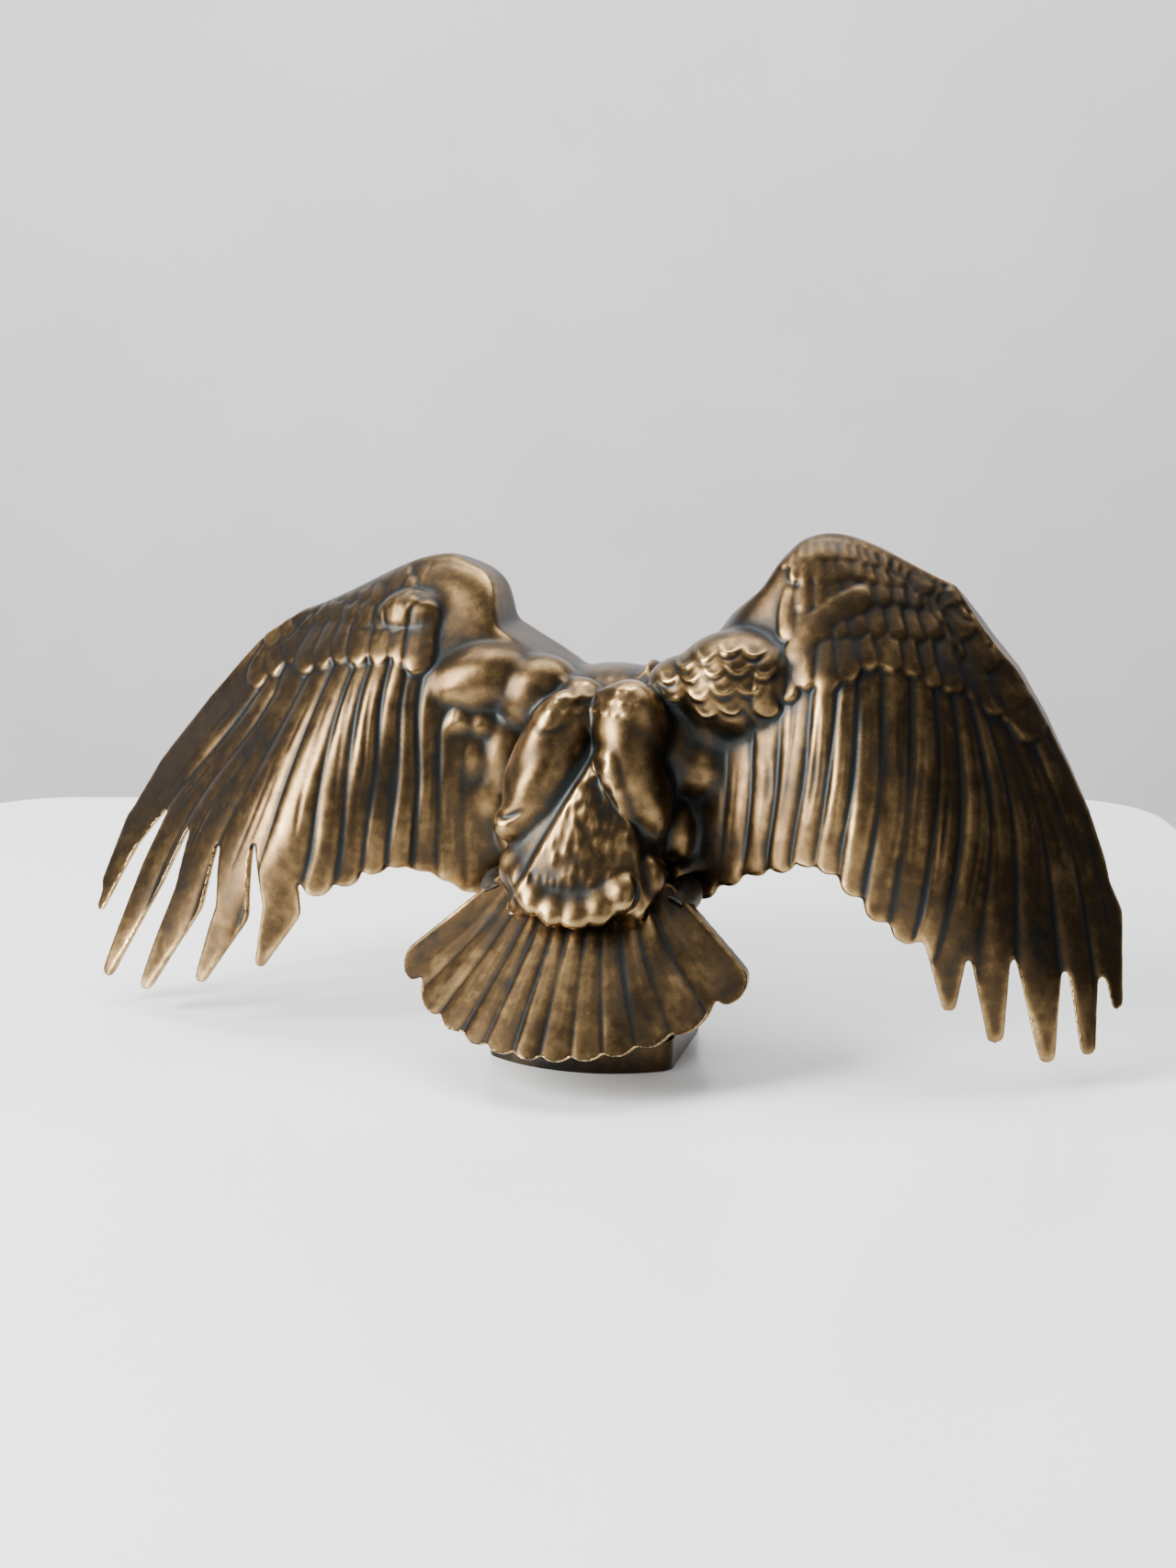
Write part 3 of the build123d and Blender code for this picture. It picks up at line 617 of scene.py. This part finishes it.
firm = rub(spots, edges_of(bird.data), 4, 0.5)
soft = rub(firm, edges_of(bird.data), 36, 0.6)
# the clay between the wings is rubbed softer, as far out as SOFT_EDGE
SOFT_EDGE, SOFT_FADE = 56, 10
middle = np.clip((SOFT_EDGE - np.abs(spots[:, 0]) / MM) / SOFT_FADE, 0, 1)[:, None]
put_points(bird.data, firm + (soft - firm) * middle)
emboss(bird, back_sheet, front_sheet)
put_points(bird.data, rub(points_of(bird.data), edges_of(bird.data), 1, 0.35))
note_wear_and_shade(bird)
print("bird skin", len(bird.data.polygons), "squares")

# %% [markdown]
# The skin is cut flat at the two wing seams, so that the body and each wing are closed pieces again.

# %% Part the bird at the wing seams
SEAM = 42.0 * MM


def keep_between(piece, name, low, high):
    """A closed slice of the skin between two x planes."""
    part = bmesh.new()
    part.from_mesh(piece.data)
    for at, side in ((low, 1), (high, -1)):
        if at is None:
            continue
        everything = part.verts[:] + part.edges[:] + part.faces[:]
        bmesh.ops.bisect_plane(part, geom=everything, plane_co=(at, 0, 0), plane_no=(-side, 0, 0),
                               clear_outer=True, dist=1e-7)
        rim = [e for e in part.edges if e.is_boundary]
        filled = bmesh.ops.triangle_fill(part, edges=rim, use_beauty=True, normal=(-side, 0, 0))
        for face in (g for g in filled["geom"] if isinstance(g, bmesh.types.BMFace)):
            face.smooth = False
        for edge in rim:
            edge.smooth = False
    bmesh.ops.recalc_face_normals(part, faces=part.faces)
    mesh = bpy.data.meshes.new(name)
    part.to_mesh(mesh)
    part.free()
    out = bpy.data.objects.new(name, mesh)
    bpy.context.scene.collection.objects.link(out)
    print(name, len(mesh.polygons), "faces")
    return out


eagle_body = keep_between(bird, "eagle_body", -SEAM, SEAM)
left_wing = keep_between(bird, "left_wing", None, -SEAM)
right_wing = keep_between(bird, "right_wing", SEAM, None)
bpy.data.objects.remove(bird)

# %% [markdown]
# ## Tail
# Twelve feathers open like a hand of cards. Each is nearly flat with a fine shaft down it, and a
# valley runs between every two of them.

# %% Tail fan
TAIL_FEATHERS = 12
TIP_HALF, TIP_LOW, TIP_RISE = 41.5, 14, 10.5  # half width at the tips, and how the outer tips rise, mm
ROOT_HALF, ROOT_HEIGHT = 19.0, 47.0
TAIL_CROWN, TAIL_TILT = 0.5, 0.22
TAIL_SHAFT, TAIL_SHAFT_WIDTH, TAIL_SHAFT_END = 0.07, 0.45, 0.85
TAIL_FRONT = 0.7  # the drawing is shallower on the tail's other face
tail_quills = []
for index in range(TAIL_FEATHERS):
    spread = 2 * index / (TAIL_FEATHERS - 1) - 1
    tip = (spread * TIP_HALF, TIP_LOW + TIP_RISE * abs(spread) ** 2.3)
    root = (spread * ROOT_HALF, ROOT_HEIGHT)
    middle = ((tip[0] + root[0]) / 2 - spread * 1.0, (tip[1] + root[1]) / 2)
    tail_quills.append((root, middle, tip))
tail_sheet = quill_field(tail_quills, TAIL_CROWN, TAIL_TILT)
for quill in tail_quills:
    path = smooth_path(quill, 10)
    window = window_round(path, 1.5)
    share, off, _ = along_and_across(path, window)
    ridge = TAIL_SHAFT * np.exp(-((off / TAIL_SHAFT_WIDTH) ** 2)) * (share < TAIL_SHAFT_END)
    tail_sheet[window[1], window[0]] += ridge
tail_sheet = soften(tail_sheet, BLUR)
tail_fan = make_skin("tail_fan", take_copy("tail_casting"), TAIL_SQUARE)
put_points(tail_fan.data, rub(points_of(tail_fan.data), edges_of(tail_fan.data), 3, 0.5))
emboss(tail_fan, tail_sheet, tail_sheet * TAIL_FRONT)
note_wear_and_shade(tail_fan)
print("tail", len(tail_fan.data.polygons))

# %% [markdown]
# ## Head
# The head looks ahead, so it can only be guessed from behind: an eagle's flat crown, a brow that
# hangs over the eye, a hooked beak and hackles that sweep back down the neck.

# %% Head
HACKLE_RINGS, HACKLES_ROUND = 9, 22
NECK_BACK, NECK_HALF, NECK_HEIGHT = 44, 11.9, 83.5
clay = take_copy("head_casting")
for side in (-1, 1):
    press_on(clay, (side * 6.8, 70, 89.6), (3.0, 6.0, 1.8), side * 28, 8)  # brow
    press_on(clay, (side * 8.2, 70.5, 86.0), (2.2, 2.6, 2.3))  # eye socket's lid
    press_on(clay, (side * 4.2, 75, 80.0), (2.6, 7.5, 1.4), side * 18, -14)  # gape
chance = np.random.default_rng(11)
for ring in range(HACKLE_RINGS):
    y = NECK_BACK + ring * 2.5
    round_half = NECK_HALF - ring * 0.22
    for step in range(HACKLES_ROUND):
        angle = math.radians(step * 360 / HACKLES_ROUND + (ring % 2) * 8.2)
        x = math.sin(angle) * round_half
        z = NECK_HEIGHT + math.cos(angle) * (round_half - 0.8)
        press_on(clay, (x, y + chance.uniform(-0.4, 0.4), z), (1.9, 2.8, 1.0), math.degrees(angle), 8)
head = make_skin("head", clay, FINE_SQUARE)
put_points(head.data, rub(points_of(head.data), edges_of(head.data), 2, 0.5))
note_wear_and_shade(head)
print("head", len(head.data.polygons))

# %% [markdown]
# ## Legs
# Small feathers are pressed in rings round each thigh. The shanks and toes stay as the castings have them.

# %% Legs
THIGH_RINGS, THIGH_FOOT = 6, 40


def build_leg(node, name):
    """One leg's skin, with rings of feathers as far up as the casting goes."""
    clay = take_copy(node)
    low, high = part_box(node)
    middle = (low + high) / 2 / MM
    top = high.z / MM
    chance = np.random.default_rng(5)
    for ring in range(THIGH_RINGS):
        z = THIGH_FOOT + ring * 3.2
        if z > top:
            break
        for step in range(12):
            angle = math.radians(step * 30 + (ring % 2) * 15)
            half = 5.1 + ring * 0.72
            y = 2.5 + ring * 1.6 + math.cos(angle) * half
            x = middle.x + math.sin(angle) * half + chance.uniform(-0.3, 0.3)
            press_on(clay, (x, y, z), (2.0, 1.6, 3.4))
    leg = make_skin(name, clay, FINE_SQUARE)
    put_points(leg.data, rub(points_of(leg.data), edges_of(leg.data), 2, 0.5))
    note_wear_and_shade(leg)
    return leg


left_leg = build_leg("left_leg_casting", "left_leg")
right_leg = build_leg("right_leg_casting", "right_leg")

# %% [markdown]
# ## Perch and plinth
# The rock's outer faces are roughened. Its top and its foot stay flat where the legs and the plinth meet it.


# %% Perch
def rock_height(spot):
    """How rough the rock is at a place: broken lumps with flat chips among them."""
    return noise.fractal(spot * 140, 0.6, 2.2, 5) + 0.5 * noise.cell(spot * 160)


ROCK_HALF_X, ROCK_HALF_Y = 31 * MM, 30 * MM
ROCK_RELIEF, ROCK_LEVEL = 0.9 * MM, 0.45
perch_rock = make_skin("perch_rock", take_copy("perch_casting"), ROCK_SQUARE)
spots = points_of(perch_rock.data)
facing = points_of(perch_rock.data, "normal")
box_low, box_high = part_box("perch_casting")
rough = np.array([rock_height(Vector(p)) for p in spots])
outer = np.clip((np.hypot(spots[:, 0] / ROCK_HALF_X, spots[:, 1] / ROCK_HALF_Y) - 0.82) / 0.12, 0, 1)
below_top = np.clip((box_high.z - spots[:, 2]) / (1.5 * MM), 0, 1)
above_foot = np.clip((spots[:, 2] - box_low.z) / (1.0 * MM), 0, 1)
relief = (rough - ROCK_LEVEL) * outer * below_top * above_foot * ROCK_RELIEF
put_points(perch_rock.data, spots + facing * relief[:, None])
note_wear_and_shade(perch_rock)
print("perch", len(perch_rock.data.polygons))

# %% [markdown]
# The plinth is its plain casting with the edges eased.

# %% Plinth
clay = take_copy("plinth_casting")
bmesh.ops.dissolve_limit(clay, angle_limit=math.radians(1), verts=clay.verts, edges=clay.edges)
plinth_mesh = bpy.data.meshes.new("plinth")
clay.to_mesh(plinth_mesh)
clay.free()
plinth = bpy.data.objects.new("plinth", plinth_mesh)
bpy.context.scene.collection.objects.link(plinth)
ease = plinth.modifiers.new("eased edges", "BEVEL")
ease.width = 0.45 * MM
ease.segments = 3
ease.limit_method = "ANGLE"
ease.angle_limit = math.radians(40)
ease.harden_normals = True

# %% [markdown]
# ## The patina
# Antique brass is brass under a thin brown-black skin. Rubbing takes the skin off the ridges and
# leaves it in the hollows, where a little green-blue has grown. Three things decide the colour at
# any spot: how proud it stands, how deep the broad hollow round it is (painted shade), and chance.


# %% Node helpers
def link(tree, a, b):
    """Joins one node's output to another's input."""
    tree.links.new(a, b)


def math_node(tree, kind, a, b, c=None, clamp=False):
    """A sum or product of two or three values, each a number or another node's output."""
    node = tree.nodes.new("ShaderNodeMath")
    node.operation = kind
    node.use_clamp = clamp
    for socket, value in zip(node.inputs, (a, b, c)):
        if value is None:
            continue
        if isinstance(value, (int, float)):
            socket.default_value = value
        else:
            link(tree, value, socket)
    return node.outputs[0]


def noise_node(tree, where, scale, detail, rough=0.55):
    """Cloudy noise. The higher the scale, the smaller the clouds."""
    node = tree.nodes.new("ShaderNodeTexNoise")
    node.inputs["Scale"].default_value = scale
    node.inputs["Detail"].default_value = detail
    node.inputs["Roughness"].default_value = rough
    link(tree, where, node.inputs["Vector"])
    return node.outputs["Fac"]


def ramp_node(tree, value, stops):
    """A value turned into a colour."""
    node = tree.nodes.new("ShaderNodeValToRGB")
    ramp = node.color_ramp
    while len(ramp.elements) < len(stops):
        ramp.elements.new(0.5)
    for element, (at, colour) in zip(ramp.elements, stops):
        element.position = at
        element.color = (*colour, 1)
    link(tree, value, node.inputs[0])
    return node.outputs[0]


def mix_node(tree, share, under, colour):
    """One fixed colour laid over another by a share."""
    node = tree.nodes.new("ShaderNodeMix")
    node.data_type = "RGBA"
    link(tree, share, node.inputs[0])
    link(tree, under, node.inputs[6])
    node.inputs[7].default_value = (*colour, 1)
    return node.outputs[2]


def new_material(name):
    """An empty material with its node tree and its shader."""
    material = bpy.data.materials.new(name)
    material.use_nodes = True
    return material, material.node_tree, material.node_tree.nodes["Principled BSDF"]


def place_in_mm(tree):
    """Where a spot is on its piece, in mm."""
    where = tree.nodes.new("ShaderNodeTexCoord")
    scale = tree.nodes.new("ShaderNodeVectorMath")
    scale.operation = "SCALE"
    scale.inputs["Scale"].default_value = 1 / MM
    link(tree, where.outputs["Object"], scale.inputs[0])
    return scale.outputs[0]


def dent(tree, shader, height, strength, depth):
    """Fine dents, too small for the mesh, with their depth in mm."""
    node = tree.nodes.new("ShaderNodeBump")
    node.inputs["Strength"].default_value = strength
    node.inputs["Distance"].default_value = depth * MM
    link(tree, height, node.inputs["Height"])
    link(tree, node.outputs[0], shader.inputs["Normal"])


# %% [markdown]
# One group of nodes makes the colour, with painted shade in the broad hollows, the shine and the fine dents
# for every brass casting.

# %% The patina group
BRASS_STOPS = (  # from the blackest hollow to the brightest ridge
    (0.0, (0.008, 0.009, 0.010)),
    (0.20, (0.020, 0.017, 0.013)),
    (0.42, (0.070, 0.044, 0.021)),
    (0.66, (0.205, 0.130, 0.056)),
    (1.0, (0.660, 0.470, 0.215)),
)
PIT_COLOUR, BLOOM_COLOUR = (0.030, 0.022, 0.015), (0.018, 0.024, 0.023)


def make_patina():
    """The brown-black patina, rubbed back where a spot is worn, with painted shade darkening the broad
    hollows.
    """
    tree = bpy.data.node_groups.new("brass_patina", "ShaderNodeTree")
    face = tree.interface
    face.new_socket("Place", in_out="INPUT", socket_type="NodeSocketVector")
    for name, value in (("Wear", 0.0), ("Hollow", 0.0), ("Brightness", 0.0), ("Green", 0.3)):
        socket = face.new_socket(name, in_out="INPUT", socket_type="NodeSocketFloat")
        socket.default_value = value
    face.new_socket("Color", in_out="OUTPUT", socket_type="NodeSocketColor")
    for name in ("Roughness", "Metallic", "Height"):
        face.new_socket(name, in_out="OUTPUT", socket_type="NodeSocketFloat")
    given = tree.nodes.new("NodeGroupInput")
    out = tree.nodes.new("NodeGroupOutput")
    place = given.outputs["Place"]
    clouds = noise_node(tree, place, 0.055, 3)
    blotch = noise_node(tree, place, 0.28, 5, 0.6)
    grain = noise_node(tree, place, 1.6, 4, 0.65)
    specks = noise_node(tree, place, 0.75, 6, 0.75)
    value = math_node(tree, "MULTIPLY_ADD", given.outputs["Wear"], 0.27, 0.31)
    # painted shade: broad recesses darker and broad bulges lighter, as light falls
    hollow = math_node(tree, "MULTIPLY", given.outputs["Hollow"], 0.16)
    value = math_node(tree, "ADD", value, hollow)
    value = math_node(tree, "ADD", value, given.outputs["Brightness"])
    for texture, amount in ((clouds, 0.85), (blotch, 0.42), (grain, 0.14)):
        shifted = math_node(tree, "SUBTRACT", texture, 0.5)
        value = math_node(tree, "ADD", value, math_node(tree, "MULTIPLY", shifted, amount))
    value = math_node(tree, "ADD", value, 0.0, clamp=True)
    colour = ramp_node(tree, value, BRASS_STOPS)
    # dark specks left by pits in the cast skin
    pit = math_node(tree, "GREATER_THAN", specks, 0.665)
    pit = math_node(tree, "MULTIPLY", pit, 0.75)
    colour = mix_node(tree, pit, colour, PIT_COLOUR)
    # green-blue bloom in the hollows
    bloom = math_node(tree, "MULTIPLY", given.outputs["Hollow"], -0.55)
    bloom = math_node(tree, "ADD", bloom, math_node(tree, "SUBTRACT", clouds, 0.50))
    bloom = math_node(tree, "MULTIPLY", bloom, given.outputs["Green"], clamp=True)
    colour = mix_node(tree, bloom, colour, BLOOM_COLOUR)
    link(tree, colour, out.inputs["Color"])
    rough = math_node(tree, "MULTIPLY", value, -0.20)
    rough = math_node(tree, "ADD", rough, 0.42)
    uneven = math_node(tree, "MULTIPLY", math_node(tree, "SUBTRACT", blotch, 0.5), 0.16)
    rough = math_node(tree, "ADD", rough, uneven)
    rough = math_node(tree, "ADD", rough, math_node(tree, "MULTIPLY", pit, 0.25), clamp=True)
    link(tree, rough, out.inputs["Roughness"])
    metal = math_node(tree, "MULTIPLY", value, 0.6)
    metal = math_node(tree, "ADD", metal, 0.78, clamp=True)
    link(tree, metal, out.inputs["Metallic"])
    fine = noise_node(tree, place, 4.0, 3)
    tall = math_node(tree, "MULTIPLY", grain, 0.5)
    tall = math_node(tree, "ADD", tall, math_node(tree, "MULTIPLY", fine, 0.25))
    tall = math_node(tree, "ADD", tall, math_node(tree, "MULTIPLY", blotch, 1.6))
    tall = math_node(tree, "SUBTRACT", tall, math_node(tree, "MULTIPLY", pit, 0.5))
    link(tree, tall, out.inputs["Height"])
    return tree


PATINA = make_patina()


def brass(name, brightness, green, bump=0.05, attributes=True):
    """Patinated brass, with painted shade in the broad hollows. A piece whose points weren't marked for wear
    and shade has attributes off.
    """
    material, tree, shader = new_material(name)
    group = tree.nodes.new("ShaderNodeGroup")
    group.node_tree = PATINA
    link(tree, place_in_mm(tree), group.inputs["Place"])
    group.inputs["Brightness"].default_value = brightness
    group.inputs["Green"].default_value = green
    if attributes:
        for socket, layer in (("Wear", "wear"), ("Hollow", "hollow")):
            reader = tree.nodes.new("ShaderNodeAttribute")
            reader.attribute_name = layer
            link(tree, reader.outputs["Fac"], group.inputs[socket])
    link(tree, group.outputs["Color"], shader.inputs["Base Color"])
    link(tree, group.outputs["Roughness"], shader.inputs["Roughness"])
    link(tree, group.outputs["Metallic"], shader.inputs["Metallic"])
    dent(tree, shader, group.outputs["Height"], 0.6, bump)
    return material


BODY_BRASS = brass("antique_brass_body", 0.02, 0.9)
WING_BRASS = brass("antique_brass_wing", 0.02, 0.35)
TAIL_BRASS = brass("antique_brass_tail", 0.04, 0.5)
PERCH_BRASS = brass("perch_brass", -0.12, 0.5, 0.12)
PLINTH_BRASS = brass("plinth_brass", -0.06, 0.2, 0.08, attributes=False)


# %% [markdown]
# ## Solder, steel and the brass inserts
# The fixings are plain: dull grey-brown solder, dulled steel screws and clean turned brass inserts.

# %% Fixing metals
def plain_metal(name, light, dark, low, high, scale):
    """A metal that clouds between two tones, its roughness between low and high."""
    material, tree, shader = new_material(name)
    place = place_in_mm(tree)
    cloud = noise_node(tree, place, scale, 5, 0.6)
    fine = noise_node(tree, place, scale * 9, 3)
    colour = ramp_node(tree, cloud, ((0.3, dark), (0.7, light)))
    link(tree, colour, shader.inputs["Base Color"])
    shader.inputs["Metallic"].default_value = 1.0
    rough = math_node(tree, "MULTIPLY_ADD", fine, high - low, low)
    link(tree, rough, shader.inputs["Roughness"])
    dent(tree, shader, fine, 0.4, 0.04)
    return material


SOLDER = plain_metal("solder", (0.13, 0.115, 0.09), (0.045, 0.042, 0.036), 0.4, 0.65, 0.5)
STEEL = plain_metal("screw_steel", (0.42, 0.42, 0.43), (0.22, 0.21, 0.20), 0.25, 0.5, 0.4)
INSERT = plain_metal("insert_brass", (0.75, 0.58, 0.30), (0.50, 0.36, 0.17), 0.2, 0.4, 0.3)

# %% [markdown]
# Each sculpted piece takes the place of its casting. The fixings keep their own meshes.

# %% Dress the pieces
DRESSED = (
    (eagle_body, "body_casting", "antique_brass_body", BODY_BRASS),
    (head, "head_casting", "antique_brass_body", BODY_BRASS),
    (left_leg, "left_leg_casting", "antique_brass_body", BODY_BRASS),
    (right_leg, "right_leg_casting", "antique_brass_body", BODY_BRASS),
    (left_wing, "left_wing_casting", "antique_brass_wing", WING_BRASS),
    (right_wing, "right_wing_casting", "antique_brass_wing", WING_BRASS),
    (tail_fan, "tail_casting", "antique_brass_tail", TAIL_BRASS),
    (perch_rock, "perch_casting", "perch_brass", PERCH_BRASS),
    (plinth, "plinth_casting", "plinth_brass", PLINTH_BRASS),
)
for piece, node, slot, material in DRESSED:
    piece.data.materials.clear()
    piece.data.materials.append(material)
    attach(piece, "root")
    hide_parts(node)
METALS = {"solder_fillets": SOLDER, "hood_inserts": INSERT, "wing_grub_screws": STEEL, "tail_screws": STEEL,
          "leg_studs": STEEL, "leg_washers": STEEL, "leg_nuts": STEEL, "plinth_screws": STEEL}
for node, metal in METALS.items():
    coats = nodes[node].data.materials
    if not len(coats):
        coats.append(metal)
    for number in range(len(coats)):
        coats[number] = metal

# %% [markdown]
# ## Table, wall and light
# The ornament stands on a white enamelled table with rounded corners, before a pale grey wall. One
# tall window lights it from the left, and the room's ceiling gives a soft grey fill.


# %% Stage
def stage_material(name, colour, rough):
    """A matt colour with faint clouds in it."""
    material, tree, shader = new_material(name)
    where = tree.nodes.new("ShaderNodeTexCoord")
    cloud = noise_node(tree, where.outputs["Object"], 6.0, 4)
    dark = tuple(c * 0.94 for c in colour)
    tone = ramp_node(tree, cloud, ((0.35, dark), (0.65, colour)))
    link(tree, tone, shader.inputs["Base Color"])
    shader.inputs["Roughness"].default_value = rough
    return material


# in metres: the table's far and near ends are measured ahead of the eye
TABLE_HALF, TABLE_CORNER = 0.243, 0.045
TABLE_FAR, TABLE_NEAR = 0.883, -0.30
TABLE_THICK, TABLE_RIM = 0.02, 0.004
TABLE_LEFT = 0.013
TABLE_DROP = 0.0101  # leaves the table's top 0.1 mm under the plinth
WALL_HALF, WALL_AHEAD = 3.0, 1.6
top = bmesh.new()
bmesh.ops.create_cube(top, size=1.0)
depth = TABLE_FAR - TABLE_NEAR
bmesh.ops.scale(top, vec=(TABLE_HALF * 2, depth, TABLE_THICK), verts=top.verts)
uprights = [e for e in top.edges if abs(e.verts[0].co.z - e.verts[1].co.z) > 0.01]
bmesh.ops.bevel(top, geom=uprights, offset=TABLE_CORNER, segments=24, affect="EDGES", profile=0.5)
rims = [e for e in top.edges if e.calc_face_angle(0) > 0.9]
bmesh.ops.bevel(top, geom=rims, offset=TABLE_RIM, segments=4, affect="EDGES", profile=0.5)
table_mesh = bpy.data.meshes.new("table_top")
top.to_mesh(table_mesh)
top.free()
table = bpy.data.objects.new("table_top", table_mesh)
heading = math.atan2(AHEAD.y, AHEAD.x) - math.pi / 2
halfway = AHEAD * (TABLE_FAR + TABLE_NEAR) / 2
centre = Vector((EYE.x, EYE.y, 0)) + halfway - TO_RIGHT * TABLE_LEFT
table.location = centre + Vector((0, 0, -TABLE_DROP))
table.rotation_euler = (0, 0, heading)
table.data.materials.append(stage_material("white_enamel", (0.88, 0.89, 0.90), 0.22))
bpy.context.scene.collection.objects.link(table)

wall_mesh = bpy.data.meshes.new("wall")
sheet = bmesh.new()
bmesh.ops.create_grid(sheet, x_segments=1, y_segments=1, size=WALL_HALF)
sheet.to_mesh(wall_mesh)
sheet.free()
wall = bpy.data.objects.new("wall", wall_mesh)
wall.location = centre + AHEAD * WALL_AHEAD
wall.rotation_euler = (math.pi / 2, 0, heading)
wall.data.materials.append(stage_material("grey_wall", (0.68, 0.68, 0.70), 0.8))
bpy.context.scene.collection.objects.link(wall)


# %% [markdown]
# Four soft lamps: the window, the ceiling, a little from the room behind the viewer, and one on the wall.


# %% Lights
def soft_light(name, where, size, power, colour=(1, 1, 1), aim=(0, 0, 0.07)):
    """A soft rectangular lamp turned to face a place."""
    data = bpy.data.lights.new(name, "AREA")
    data.shape = "RECTANGLE"
    data.size, data.size_y = size
    data.energy = power
    data.color = colour
    lamp = bpy.data.objects.new(name, data)
    lamp.location = where
    lamp.rotation_euler = (Vector(aim) - Vector(where)).to_track_quat("-Z", "Y").to_euler()
    bpy.context.scene.collection.objects.link(lamp)


UP = Vector((0, 0, 1))
window_place = TO_RIGHT * -1.0 - AHEAD * 0.45 + UP * 0.5
room_place = TO_RIGHT * 0.5 - AHEAD * 1.1 + UP * 0.5
wash_place = centre + AHEAD * 0.7 + UP * 1.6
soft_light("window", window_place, (0.5, 1.0), 68, (1.0, 0.98, 0.95))
soft_light("ceiling", AHEAD * 0.3 + UP * 1.5, (1.3, 1.0), 24, (0.95, 0.97, 1.0))
soft_light("room", room_place, (1.0, 1.0), 3.0)
soft_light("wall_wash", wash_place, (2.5, 0.8), 34, aim=centre + AHEAD * WALL_AHEAD)
world = bpy.data.worlds.new("room")
bpy.context.scene.world = world
world.use_nodes = True
sky = world.node_tree.nodes["Background"]
sky.inputs["Color"].default_value = (0.80, 0.82, 0.85, 1)
sky.inputs["Strength"].default_value = 0.27

# %% [markdown]
# The lesson ends.

# %% Finish
bpy.context.view_layer.update()
